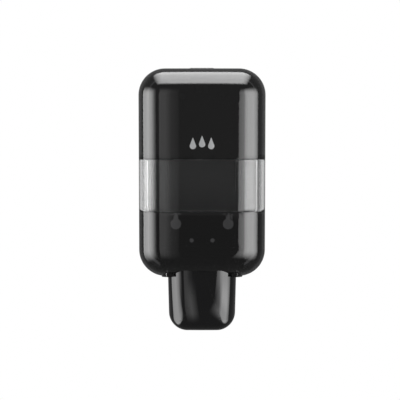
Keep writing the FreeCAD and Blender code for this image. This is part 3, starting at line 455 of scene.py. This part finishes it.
def cover_pieces():
    """The three welded mouldings of the cover."""
    ring = outline(COVER_HALF_TOP, COVER_HALF_BOTTOM, -COVER_TOP, COVER_TOP,
                   COVER_CORNER)

    def front_for(inset):
        return crowned_front(COVER_CROWN - inset, COVER_FRONT + inset)
    whole = tray("cover_whole", ring, COVER_WALL, COVER_REAR, COVER_DRAFT,
                 lambda normal: COVER_EDGE, front_for)
    upper = slice_off(copy_of(whole, "upper_cover"), WINDOW_HIGH.z, True, SEAM)
    window = slice_off(copy_of(whole, "level_window"), WINDOW_HIGH.z, False, SEAM)
    window = slice_off(window, WINDOW_LOW.z, True, SEAM)
    lower = slice_off(copy_of(whole, "lower_cover"), WINDOW_LOW.z, False, SEAM)
    bpy.data.objects.remove(whole)

    notch_half = BUTTON_HIGH.x + NOTCH_GAP
    notch = bar("notch", box_loop(-notch_half, notch_half, BUTTON_LOW.y - 2 * NOTCH_GAP,
                                  FAR), BUTTON_LOW.z, FAR)
    carve(upper, notch)

    lip_loop = plan_loop(MOUTH_HALF + LIP_WIDTH, MOUTH_FRONT - LIP_WIDTH,
                         MOUTH_BACK + LIP_WIDTH, MOUTH_CORNER + LIP_WIDTH)
    lip = bar("lip", lip_loop, LIP_LOW, LIP_TOP)
    carve(lip, bar("lip_front", box_loop(-FAR, FAR, -FAR, LIP_FRONT), -FAR, FAR))
    soften(lip, 0.35 * MM, 2)
    carve(lower, lip, "UNION")
    for side in (1, -1):
        for reach in (-LUG_HALF - KNUCKLE_LENGTH, LUG_HALF):
            start = side * LUG_MIDDLE + reach
            eye = bar("eye", round_loop(HINGE.y, HINGE.z, KNUCKLE), start,
                      start + KNUCKLE_LENGTH, axis="x")
            foot = bar("foot", box_loop(HINGE.y - KNUCKLE, HINGE.y, LIP_LOW + FOOT_LIFT,
                                        HINGE.z), start, start + KNUCKLE_LENGTH, axis="x")
            carve(eye, foot, "UNION")
            carve(lower, eye, "UNION")
    carve(lower, bar("mouth", plan_loop(MOUTH_HALF, MOUTH_FRONT, MOUTH_BACK, MOUTH_CORNER,
                                        24), -FAR / 2, MOUTH_TOP))
    carve(lower, bar("heel", box_loop(HINGE.y, FAR, -FAR, HINGE.z), -FAR, FAR, axis="x"))
    for side in (1, -1):
        space = bar("lug_room", box_loop(HINGE.y - KNUCKLE * 1.6, FAR, -FAR,
                                         HINGE.z + KNUCKLE),
                    side * LUG_MIDDLE - LUG_HALF, side * LUG_MIDDLE + LUG_HALF, axis="x")
        carve(lower, space)
        reach = LUG_HALF + KNUCKLE_LENGTH + 1.0 * MM
        carve(lower, bar("pin_bore", round_loop(HINGE.y, HINGE.z, PIN_BORE),
                         side * LUG_MIDDLE - reach, side * LUG_MIDDLE + reach, axis="x"))
    return upper, window, lower


# ---------------------------------------------------------------- the lever
def lever_front():
    """The push bar: a tray whose front swings clear of the cover's edge."""
    ring = outline(LEVER_HALF_TOP, LEVER_HALF_BOTTOM, LEVER_LOW.z,
                   LEVER_HIGH.z + LEVER_OVERSHOOT, LEVER_CORNER)

    def ball_for(normal):
        """Rounder at the sides than at the toe."""
        return (LEVER_SIDE_ROUND * normal.x ** 2
                + LEVER_TOE_ROUND * normal.y ** 2)

    def front_for(inset):
        return swinging_front(LEVER_REACH - inset, LEVER_CROWN - inset, HINGE)
    lever = tray("push_lever", ring, LEVER_WALL, LEVER_HIGH.y, 0.0, ball_for, front_for)
    slice_off(lever, LEVER_HIGH.z, False, 0.3 * MM)
    shoulder_y, shoulder_z = LEVER_SHOULDER
    carve(lever, bar("shoulder", box_loop(shoulder_y, FAR, shoulder_z, FAR), -FAR, FAR,
                     axis="x"))
    for side in (1, -1):
        boss = bar("boss", round_loop(side * LEVER_BOSS.x, LEVER_BOSS.z, LEVER_BOSS_RADIUS),
                   LEVER_BOSS_ROOT, LEVER_BOSS.y, axis="y")
        carve(lever, boss, "UNION")
        pilot = round_loop(side * LEVER_BOSS.x, LEVER_BOSS.z, LEVER_PILOT)
        carve(lever, bar("pilot", pilot, LEVER_BOSS.y - LEVER_PILOT_DEPTH, 0, axis="y"))
    carve(lever, bar("pivot_hole", round_loop(PIVOT.y, PIVOT.z, PIVOT_HOLE), -FAR, FAR,
                     axis="x"))
    return lever


# ---------------------------------------------------------------- emblem and springs
def drop_loop(x, z, steps=30):
    """A soap drop seen from the front: a round bowl that runs up to a point."""
    touch = math.acos(DROP_RADIUS / DROP_RISE)
    start = math.pi / 2 + touch
    sweep = 2 * (math.pi - touch)
    loop = [(x + DROP_RADIUS * math.cos(start + sweep * i / steps),
             z + DROP_RADIUS * math.sin(start + sweep * i / steps)) for i in range(steps + 1)]
    ends = (Vector(loop[-1]), Vector((x, z + DROP_RISE)), Vector(loop[0]))
    blunt = [ends[1].lerp(ends[0], 0.05), ends[1].lerp(ends[2], 0.05)]
    return loop + [tuple(place) for place in blunt]


def emblem():
    """Three drops in low relief that follow the crown of the cover."""
    axis = COVER_FRONT + COVER_CROWN
    made = []
    for step in (-1, 0, 1):
        loop = drop_loop(step * DROP_SPACING, DROP_Z if step else DROP_Z + DROP_LIFT)
        drop = bar("drop", loop, -1, 1, axis="y")
        for vertex in drop.data.vertices:
            outside = vertex.co.y < 0
            reach = COVER_CROWN + (DROP_PROUD if outside else -0.05 * MM)
            vertex.co.y = axis - math.sqrt(reach ** 2 - vertex.co.x ** 2)
        made.append(soften(drop, 0.18 * MM, 3, 60))
    bm = bmesh.new()
    for drop in made:
        bm.from_mesh(drop.data)
        bpy.data.objects.remove(drop)
    mesh = bpy.data.meshes.new("soap_drops")
    bm.to_mesh(mesh)
    bm.free()
    drops = bpy.data.objects.new("soap_drops", mesh)
    bpy.context.scene.collection.objects.link(drops)
    return drops


def spring(name, x, y, low, high, radius, wire, turns, around=10, per_turn=28):
    """A compression spring with closed, flat lying ends."""
    count = turns * per_turn
    rise = high - low - 2 * wire
    centres = []
    for i in range(count + 1):
        turn = i / per_turn
        dead = min(max(turn - 1, 0), turns - 2)
        climb = wire * 2 * (min(turn, 1) + max(turn - turns + 1, 0))
        z = low + wire + climb + dead / (turns - 2) * (rise - 4 * wire)
        angle = 2 * math.pi * turn
        centres.append(Vector((x + radius * math.cos(angle), y + radius * math.sin(angle), z)))
    points = []
    for i, centre in enumerate(centres):
        along = (centres[min(i + 1, count)] - centres[max(i - 1, 0)]).normalized()
        out = Vector((centre.x - x, centre.y - y, 0)).normalized()
        up = along.cross(out).normalized()
        for k in range(around):
            angle = 2 * math.pi * k / around
            points.append(centre + (out * math.cos(angle) + up * math.sin(angle)) * wire)
    faces = []
    for i in range(count):
        for k in range(around):
            base = i * around
            faces.append((base + k, base + (k + 1) % around,
                          base + around + (k + 1) % around, base + around + k))
    faces += [tuple(range(around)), tuple(range(count * around, (count + 1) * around))]
    return smooth(mesh_piece(name, points, faces), 50)


# ---------------------------------------------------------------- shared node groups
def new_group(name, inputs, outputs):
    """An empty node group with these sockets; gives the tree and its two ends."""
    tree = bpy.data.node_groups.new(name, "ShaderNodeTree")
    for label, value in inputs:
        socket = tree.interface.new_socket(label, in_out="INPUT",
                                           socket_type="NodeSocketFloat")
        socket.default_value = value
    for label in outputs:
        tree.interface.new_socket(label, in_out="OUTPUT", socket_type="NodeSocketFloat")
    return tree, tree.nodes.new("NodeGroupInput"), tree.nodes.new("NodeGroupOutput")


def node(tree, kind, links=(), **settings):
    """Add a node, set its properties, and join or set its inputs."""
    made = tree.nodes.new(kind)
    for key, value in settings.items():
        setattr(made, key, value)
    for where, what in links:
        if isinstance(what, bpy.types.NodeSocket):
            tree.links.new(what, made.inputs[where])
        else:
            made.inputs[where].default_value = what
    return made


def spot_on_piece(tree):
    """Where on the piece, in its own metres."""
    return node(tree, "ShaderNodeTexCoord").outputs["Object"]


def moulded_skin():
    """The fine grain of moulded plastic, over the slow waves of its cooling."""
    tree, start, end = new_group("moulded_skin", [("Grain", 2500.0), ("Waves", 45.0)],
                                 ["Grain", "Waves"])
    where = spot_on_piece(tree)
    grain = node(tree, "ShaderNodeTexNoise", [("Vector", where), ("Detail", 4.0),
                                              ("Scale", start.outputs["Grain"])])
    waves = node(tree, "ShaderNodeTexNoise", [("Vector", where), ("Detail", 1.0),
                                              ("Scale", start.outputs["Waves"])])
    tree.links.new(grain.outputs["Fac"], end.inputs["Grain"])
    tree.links.new(waves.outputs["Fac"], end.inputs["Waves"])
    return tree


def handling():
    """Faint smudges and dust where hands and cloths have been."""
    tree, start, end = new_group("handling", [("Size", 38.0), ("Cover", 0.5)], ["Mask"])
    where = spot_on_piece(tree)
    patch = node(tree, "ShaderNodeTexNoise", [("Vector", where), ("Detail", 6.0),
                                              ("Roughness", 0.62),
                                              ("Scale", start.outputs["Size"])])
    speck = node(tree, "ShaderNodeTexNoise", [("Vector", where), ("Scale", 900.0),
                                              ("Detail", 2.0)])
    high = node(tree, "ShaderNodeMath", [(0, start.outputs["Cover"]), (1, 0.25)],
                operation="ADD")
    soft = node(tree, "ShaderNodeMapRange", [("Value", patch.outputs["Fac"]),
                                             ("From Min", start.outputs["Cover"]),
                                             ("From Max", high.outputs[0])])
    both = node(tree, "ShaderNodeMath", [(0, soft.outputs["Result"]),
                                         (1, speck.outputs["Fac"])], operation="MULTIPLY")
    tree.links.new(both.outputs[0], end.inputs["Mask"])
    return tree


def edge_wear():
    """Where an edge is rubbed lighter."""
    tree, start, end = new_group("edge_wear", [("Reach", 0.0004), ("Break", 300.0)],
                                 ["Mask"])
    rounded = node(tree, "ShaderNodeBevel", [("Radius", start.outputs["Reach"])], samples=4)
    plain = node(tree, "ShaderNodeNewGeometry")
    match = node(tree, "ShaderNodeVectorMath", [(0, rounded.outputs["Normal"]),
                                                (1, plain.outputs["Normal"])],
                 operation="DOT_PRODUCT")
    off = node(tree, "ShaderNodeMapRange", [("Value", match.outputs["Value"]),
                                            ("From Min", 0.99), ("From Max", 0.80)])
    where = spot_on_piece(tree)
    broken = node(tree, "ShaderNodeTexNoise", [("Vector", where), ("Detail", 3.0),
                                               ("Scale", start.outputs["Break"])])
    worn = node(tree, "ShaderNodeMath", [(0, off.outputs["Result"]),
                                         (1, broken.outputs["Fac"])], operation="MULTIPLY")
    tree.links.new(worn.outputs[0], end.inputs["Mask"])
    return tree


def drawn_metal():
    """Fine lines along bar and wire, and the mottling of plating."""
    tree, start, end = new_group("drawn_metal", [("Lines", 1500.0), ("Mottle", 160.0)],
                                 ["Lines", "Mottle"])
    where = spot_on_piece(tree)
    squeezed = node(tree, "ShaderNodeMapping", [("Vector", where),
                                                ("Scale", (0.04, 1.0, 0.35))])
    lines = node(tree, "ShaderNodeTexNoise", [("Vector", squeezed.outputs["Vector"]),
                                              ("Detail", 3.0),
                                              ("Scale", start.outputs["Lines"])])
    mottle = node(tree, "ShaderNodeTexNoise", [("Vector", where), ("Detail", 3.0),
                                               ("Scale", start.outputs["Mottle"])])
    tree.links.new(lines.outputs["Fac"], end.inputs["Lines"])
    tree.links.new(mottle.outputs["Fac"], end.inputs["Mottle"])
    return tree


# ---------------------------------------------------------------- finishes
COLOUR_DRIFT = 1.35     # how much lighter a moulding's colour gets in its waves


def finish(name):
    """A material with only its Principled shader; gives the material, tree and shader."""
    material = bpy.data.materials.new(name)
    material.use_nodes = True
    tree = material.node_tree
    return material, tree, tree.nodes["Principled BSDF"]


def use(tree, group, **values):
    """Place a shared group with its own values."""
    made = tree.nodes.new("ShaderNodeGroup")
    made.node_tree = group
    for label, value in values.items():
        made.inputs[label].default_value = value
    return made


def spread(tree, mask, low, high):
    """A mask of 0 to 1, spread over a range of values."""
    return node(tree, "ShaderNodeMapRange", [("Value", mask), ("To Min", low),
                                             ("To Max", high)]).outputs["Result"]


def blend_by(tree, mask, plain, other):
    """Colour between two, by a mask.  The first may come from other nodes."""
    if not isinstance(plain, bpy.types.NodeSocket):
        plain = (*plain, 1)
    made = node(tree, "ShaderNodeMix", data_type="RGBA")
    for socket, value in ((0, mask), (6, plain), (7, (*other, 1))):
        if isinstance(value, bpy.types.NodeSocket):
            tree.links.new(value, made.inputs[socket])
        else:
            made.inputs[socket].default_value = value
    return made.outputs[2]


def relief(tree, height, strength, depth):
    """A bump of this depth in metres; gives its normal."""
    return node(tree, "ShaderNodeBump", [("Height", height), ("Strength", strength),
                                         ("Distance", depth)]).outputs["Normal"]


def plastic(name, colour, worn, roughness, grain=(2500.0, 0.10, 0.00002), cover=0.5):
    """Moulded plastic: grain, smudges, a little colour drift and rubbed edges."""
    material, tree, shader = finish(name)
    skin_nodes = use(tree, SKIN, Grain=grain[0])
    marks = use(tree, MARKS, Cover=cover)
    wear = use(tree, WEAR)
    drift = tuple(part * COLOUR_DRIFT for part in colour)
    tone = blend_by(tree, skin_nodes.outputs["Waves"], colour, drift)
    tree.links.new(blend_by(tree, wear.outputs["Mask"], tone, worn),
                   shader.inputs["Base Color"])
    tree.links.new(spread(tree, marks.outputs["Mask"], roughness[0], roughness[1]),
                   shader.inputs["Roughness"])
    tree.links.new(relief(tree, skin_nodes.outputs["Grain"], grain[1], grain[2]),
                   shader.inputs["Normal"])
    return material


def see_through(name, tint, dusty, roughness, bending):
    """Clear or smoked moulded plastic with a polished face."""
    material, tree, shader = finish(name)
    marks = use(tree, MARKS, Size=30.0, Cover=0.52)
    skin_nodes = use(tree, SKIN, Grain=1400.0, Waves=26.0)
    tree.links.new(blend_by(tree, marks.outputs["Mask"], tint, dusty),
                   shader.inputs["Base Color"])
    tree.links.new(spread(tree, marks.outputs["Mask"], roughness[0], roughness[1]),
                   shader.inputs["Roughness"])
    tree.links.new(relief(tree, skin_nodes.outputs["Waves"], 0.06, 0.0002),
                   shader.inputs["Normal"])
    shader.inputs["Transmission Weight"].default_value = 1.0
    shader.inputs["IOR"].default_value = bending
    return material


def metal(name, bright, dull, roughness, lines=1500.0):
    """Plated or bare steel with drawn lines and mottled plating."""
    material, tree, shader = finish(name)
    drawn = use(tree, DRAWN, Lines=lines)
    wear = use(tree, WEAR, Reach=0.0002)
    tree.links.new(blend_by(tree, drawn.outputs["Mottle"], dull, bright),
                   shader.inputs["Base Color"])
    tree.links.new(spread(tree, drawn.outputs["Lines"], roughness[0], roughness[1]),
                   shader.inputs["Roughness"])
    both = node(tree, "ShaderNodeMath", [(0, drawn.outputs["Lines"]),
                                         (1, wear.outputs["Mask"])], operation="SUBTRACT")
    tree.links.new(relief(tree, both.outputs[0], 0.25, 0.00002), shader.inputs["Normal"])
    shader.inputs["Metallic"].default_value = 1.0
    return material


def all_finishes():
    """One material for each slot of the record."""
    liner = plastic("soft_liner", (0.045, 0.047, 0.05), (0.09, 0.09, 0.09), (0.62, 0.8),
                    grain=(1800.0, 0.35, 0.00004))
    liner.node_tree.nodes["Principled BSDF"].inputs["Sheen Weight"].default_value = 0.2
    chassis = plastic("chassis", (0.008, 0.008, 0.009), (0.04, 0.04, 0.04), (0.40, 0.6))
    chassis.node_tree.nodes["Principled BSDF"].inputs["Specular IOR Level"].default_value = 0.2
    lever = plastic("lever_gloss", (0.0035, 0.0035, 0.0038), (0.02, 0.02, 0.02),
                    (0.035, 0.11), grain=(1400.0, 0.03, 0.00001))
    return {
        "smoked_cover": see_through("smoked_cover", (0.032, 0.032, 0.033),
                                    (0.042, 0.042, 0.043), (0.0, 0.06), 1.58),
        "clear_window": see_through("clear_window", (0.93, 0.935, 0.935),
                                    (0.86, 0.87, 0.87), (0.0, 0.06), 1.49),
        "chassis": chassis,
        "bracket": plastic("bracket", (0.03, 0.031, 0.033), (0.08, 0.08, 0.08),
                           (0.40, 0.6)),
        "lever_gloss": lever,
        "drive_plastic": plastic("drive_plastic", (0.30, 0.31, 0.32), (0.5, 0.5, 0.5),
                                 (0.38, 0.55)),
        "bearing_plastic": plastic("bearing_plastic", (0.72, 0.71, 0.67),
                                   (0.8, 0.8, 0.78), (0.30, 0.45)),
        "soft_liner": liner,
        "steel": metal("steel", (0.62, 0.62, 0.63), (0.46, 0.46, 0.47), (0.22, 0.42)),
        "spring_steel": metal("spring_steel", (0.48, 0.47, 0.46), (0.30, 0.29, 0.29),
                              (0.18, 0.34), lines=3000.0),
        "grey_button": plastic("grey_button", (0.10, 0.102, 0.105), (0.2, 0.2, 0.2),
                               (0.30, 0.45), grain=(3200.0, 0.22, 0.00003)),
        "barrel_metal": metal("barrel_metal", (0.78, 0.77, 0.74), (0.60, 0.59, 0.56),
                              (0.12, 0.28), lines=900.0),
        "emblem_grey": plastic("emblem_grey", (0.56, 0.57, 0.575), (0.7, 0.7, 0.7),
                               (0.32, 0.5), grain=(5200.0, 0.12, 0.00001)),
    }


# ---------------------------------------------------------------- studio
def softbox(name, azimuth, elevation, brightness, rise, fade):
    """A glowing panel that faces the dispenser and fills a span of directions.

    Azimuth 0 is towards the camera and grows to the left.  Brightness is what a mirror
    would show, rise its share at places across the panel from left to right, and fade how
    much of its height dims away at the bottom and at the top.  The panel isn't seen
    straight through the window."""
    middle = [math.radians(sum(span) / 2) for span in (azimuth, elevation)]
    half = [math.radians(abs(span[1] - span[0]) / 2) for span in (azimuth, elevation)]
    back = Vector((-math.sin(middle[0]) * math.cos(middle[1]),
                   -math.cos(middle[0]) * math.cos(middle[1]), math.sin(middle[1])))
    light = bpy.data.lights.new(name, "AREA")
    light.shape = "RECTANGLE"
    light.size = 2 * LAMP_REACH * math.tan(half[0])
    light.size_y = 2 * LAMP_REACH * math.tan(half[1])
    light.energy = brightness * math.pi * light.size * light.size_y
    light.use_nodes = True
    tree = light.node_tree
    across = node(tree, "ShaderNodeSeparateXYZ",
                  [(0, node(tree, "ShaderNodeNewGeometry").outputs["Parametric"])])
    ramp = node(tree, "ShaderNodeValToRGB", [(0, across.outputs["X"])])
    marks = ramp.color_ramp.elements
    for at, share in rise[1:-1]:
        marks.new(at)
    for mark, (at, share) in zip(marks, rise):
        mark.position = at
        mark.color = (share, share, share, 1)
    foot = node(tree, "ShaderNodeMapRange", [("Value", across.outputs["Y"]),
                                             ("From Max", fade[0]),
                                             ("To Max", ramp.outputs["Color"])],
                interpolation_type="SMOOTHSTEP")
    crown = node(tree, "ShaderNodeMapRange", [("Value", across.outputs["Y"]),
                                              ("From Min", 1.0), ("From Max", 1 - fade[1]),
                                              ("To Max", foot.outputs["Result"])],
                 interpolation_type="SMOOTHSTEP")
    path = node(tree, "ShaderNodeLightPath")
    unmirrored = node(tree, "ShaderNodeMath", [(0, path.outputs["Glossy Depth"]), (1, 0.5)],
                      operation="LESS_THAN")
    hidden = node(tree, "ShaderNodeMath", [(0, path.outputs["Transmission Depth"]),
                                           (1, unmirrored.outputs[0])],
                  operation="MULTIPLY")
    shown = node(tree, "ShaderNodeMapRange", [("Value", hidden.outputs[0]),
                                              ("To Min", crown.outputs["Result"]),
                                              ("To Max", 0.0)])
    tree.links.new(shown.outputs["Result"], tree.nodes["Emission"].inputs["Strength"])
    lamp = bpy.data.objects.new(name, light)
    bpy.context.scene.collection.objects.link(lamp)
    lamp.location = (CAD_LOW + CAD_HIGH) / 2 + back * LAMP_REACH
    lamp.rotation_mode = "QUATERNION"
    lamp.rotation_quaternion = (-back).to_track_quat("-Z", "Y")
    lamp.visible_camera = False
    lamp.visible_diffuse = False
    return lamp


def studio():
    """Tall soft panels to the left and right, one overhead, and low ones for the lever."""
    softbox("left_box", LEFT_SIDE, TALL, 6.8,
            [(0.0, 0.55), (0.24, 0.68), (0.46, 0.94), (0.67, 0.70), (0.88, 0.18), (1.0, 0.03)],
            TALL_FADE)
    softbox("left_strip", STRIP_SIDE, TALL, 0.80,
            [(0.0, 0.95), (0.45, 0.85), (0.7, 0.3), (1.0, 0.1)], TALL_FADE)
    softbox("right_box", RIGHT_SIDE, TALL, 6.5,
            [(0.0, 0.20), (0.12, 0.76), (0.3, 0.96), (0.62, 0.95), (0.85, 0.54), (1.0, 0.12)],
            TALL_FADE)
    softbox("top_box", (-36, 36), (43, 118), 6.9,
            [(0.0, 0.0), (0.16, 0.6), (0.34, 1.0), (0.7, 1.0), (0.86, 0.6), (1.0, 0.0)],
            (0.18, 0.15))
    seen_by_lever = bpy.data.collections.new("seen_by_lever")
    seen_by_lever.objects.link(bpy.data.objects["push_lever"])
    for lamp in (softbox("left_low", (50, 108), LOW, 5.9,
                         [(0.0, 0.5), (0.3, 0.9), (0.6, 1.0), (0.85, 0.6), (1.0, 0.1)],
                         (0.26, 0.80)),
                 softbox("strip_low", (8, 22), LOW, 1.2,
                         [(0.0, 0.4), (0.5, 1.0), (1.0, 0.1)], (0.26, 0.62)),
                 softbox("right_low", (-89, -23), LOW, 5.4,
                         [(0.0, 0.0), (0.14, 0.32), (0.32, 1.0), (0.7, 1.0), (1.0, 0.2)],
                         (0.26, 0.55))):
        lamp.light_linking.receiver_collection = seen_by_lever
    for lamp in bpy.context.scene.objects:
        if lamp.type == "LIGHT":
            lamp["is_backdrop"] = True


def room():
    """Plain white beyond the dispenser, a dimmer room in its gloss, and a pale floor.

    Straight looks see white, mirrored ones see the two toned room, and looks that leave
    through the window at a slant or after a reflection see something between."""
    world = bpy.data.worlds.new("room")
    bpy.context.scene.world = world
    world.use_nodes = True
    tree = world.node_tree
    path = node(tree, "ShaderNodeLightPath")
    bounces = node(tree, "ShaderNodeMath", [(0, path.outputs["Diffuse Depth"]),
                                            (1, path.outputs["Glossy Depth"])],
                   operation="ADD")
    way = node(tree, "ShaderNodeSeparateXYZ",
               [(0, node(tree, "ShaderNodeTexCoord").outputs["Generated"])])
    gloss = node(tree, "ShaderNodeMapRange", [("Value", way.outputs["Z"]),
                                              ("From Min", HORIZON - HORIZON_BLUR),
                                              ("From Max", HORIZON + HORIZON_BLUR),
                                              ("To Min", ROOM_IN_GLOSS * (1 - ROOM_STEP)),
                                              ("To Max", ROOM_IN_GLOSS * (1 + ROOM_STEP))])
    soft = node(tree, "ShaderNodeMapRange", [("Value", path.outputs["Diffuse Depth"]),
                                             ("To Min", gloss.outputs["Result"]),
                                             ("To Max", ROOM_LIGHT)])
    onward = node(tree, "ShaderNodeMath", [(0, way.outputs["Y"]), (1, 0.0)],
                  operation="GREATER_THAN")
    beyond = node(tree, "ShaderNodeMath", [(0, path.outputs["Is Transmission Ray"]),
                                           (1, onward.outputs[0])], operation="MULTIPLY")
    dim = node(tree, "ShaderNodeMapRange", [("Value", beyond.outputs[0]),
                                            ("To Min", soft.outputs["Result"]),
                                            ("To Max", ROOM_THROUGH)])
    astray = node(tree, "ShaderNodeMath", [(0, way.outputs["Y"]), (1, STRAIGHT_ON)],
                  operation="LESS_THAN")
    slanted = node(tree, "ShaderNodeMath", [(0, path.outputs["Is Transmission Ray"]),
                                            (1, astray.outputs[0])], operation="MULTIPLY")
    clear = node(tree, "ShaderNodeMapRange", [("Value", slanted.outputs[0]),
                                              ("To Min", 1.0), ("To Max", ROOM_THROUGH)])
    bright = node(tree, "ShaderNodeMapRange", [("Value", bounces.outputs[0]),
                                               ("To Min", clear.outputs["Result"]),
                                               ("To Max", dim.outputs["Result"])])
    tree.links.new(bright.outputs["Result"], tree.nodes["Background"].inputs["Strength"])
    tree.nodes["Background"].inputs["Color"].default_value = (1, 1, 1, 1)

    floor = mesh_piece("floor", [(x, y, FLOOR_Z) for x, y in
                                 box_loop(-FLOOR_HALF, FLOOR_HALF, -FLOOR_HALF, FLOOR_HALF)],
                       [(0, 1, 2, 3)])
    material, floor_tree, shader = finish("floor_paint")
    marks = use(floor_tree, MARKS, Size=3.0)
    floor_tree.links.new(blend_by(floor_tree, marks.outputs["Mask"], (0.86, 0.86, 0.86),
                                  (0.80, 0.80, 0.80)), shader.inputs["Base Color"])
    shader.inputs["Roughness"].default_value = 0.7
    floor.data.materials.append(material)
    floor.visible_glossy = False
    floor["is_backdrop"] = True


def camera():
    lens = bpy.data.cameras.new("camera")
    lens.lens = CAMERA_LENS
    lens.sensor_width = 36.0
    lens.clip_end = 20.0
    eye = bpy.data.objects.new("camera", lens)
    bpy.context.scene.collection.objects.link(eye)
    eye.location = CAMERA_PLACE
    eye.rotation_mode = "QUATERNION"
    eye.rotation_quaternion = (CAMERA_AIM - CAMERA_PLACE).to_track_quat("-Z", "Y")
    bpy.context.scene.camera = eye


# ---------------------------------------------------------------- put together
SKIN = moulded_skin()
MARKS = handling()
WEAR = edge_wear()
DRAWN = drawn_metal()
FINISHES = all_finishes()
SLOTS = {part["node"]: part["material_slot"] for part in frame["record"]["subparts"]}


def fit(piece, name, body):
    """This piece takes the place of the CAD node, with its finish, on its body."""
    piece.data.materials.clear()
    piece.data.materials.append(FINISHES[SLOTS[name]])
    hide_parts(name)
    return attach(piece, body)


for name, thing in frame["nodes"].items():
    for material_slot in thing.material_slots:
        material_slot.material = FINISHES[SLOTS[name]]

for piece, name in zip(cover_pieces(), ("cover_upper", "cover_window", "cover_lower")):
    fit(smooth(piece), name, "cover")
fit(smooth(lever_front()), "lever_front", "lever")
fit(smooth(emblem(), 35), "front_emblem", "cover")

for name in ("return_spring_right", "return_spring_left"):
    low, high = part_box(name)
    coil = spring(name + "_wire", math.copysign(RETURN_X, high.x + low.x), RETURN_Y,
                  RETURN_FOOT, RETURN_SEAT, radius=3.1 * MM, wire=0.45 * MM, turns=8)
    fit(coil, name, "wall_unit")
    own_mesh(coil)
coil = spring("latch_spring_wire", 0, LATCH_Y, LATCH_SEAT, LATCH_TOP, radius=3.0 * MM,
              wire=0.4 * MM, turns=6)
fit(coil, "latch_spring", "wall_unit")
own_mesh(coil)

room()
studio()
camera()
bpy.context.scene.view_settings.view_transform = "Standard"

low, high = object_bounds()
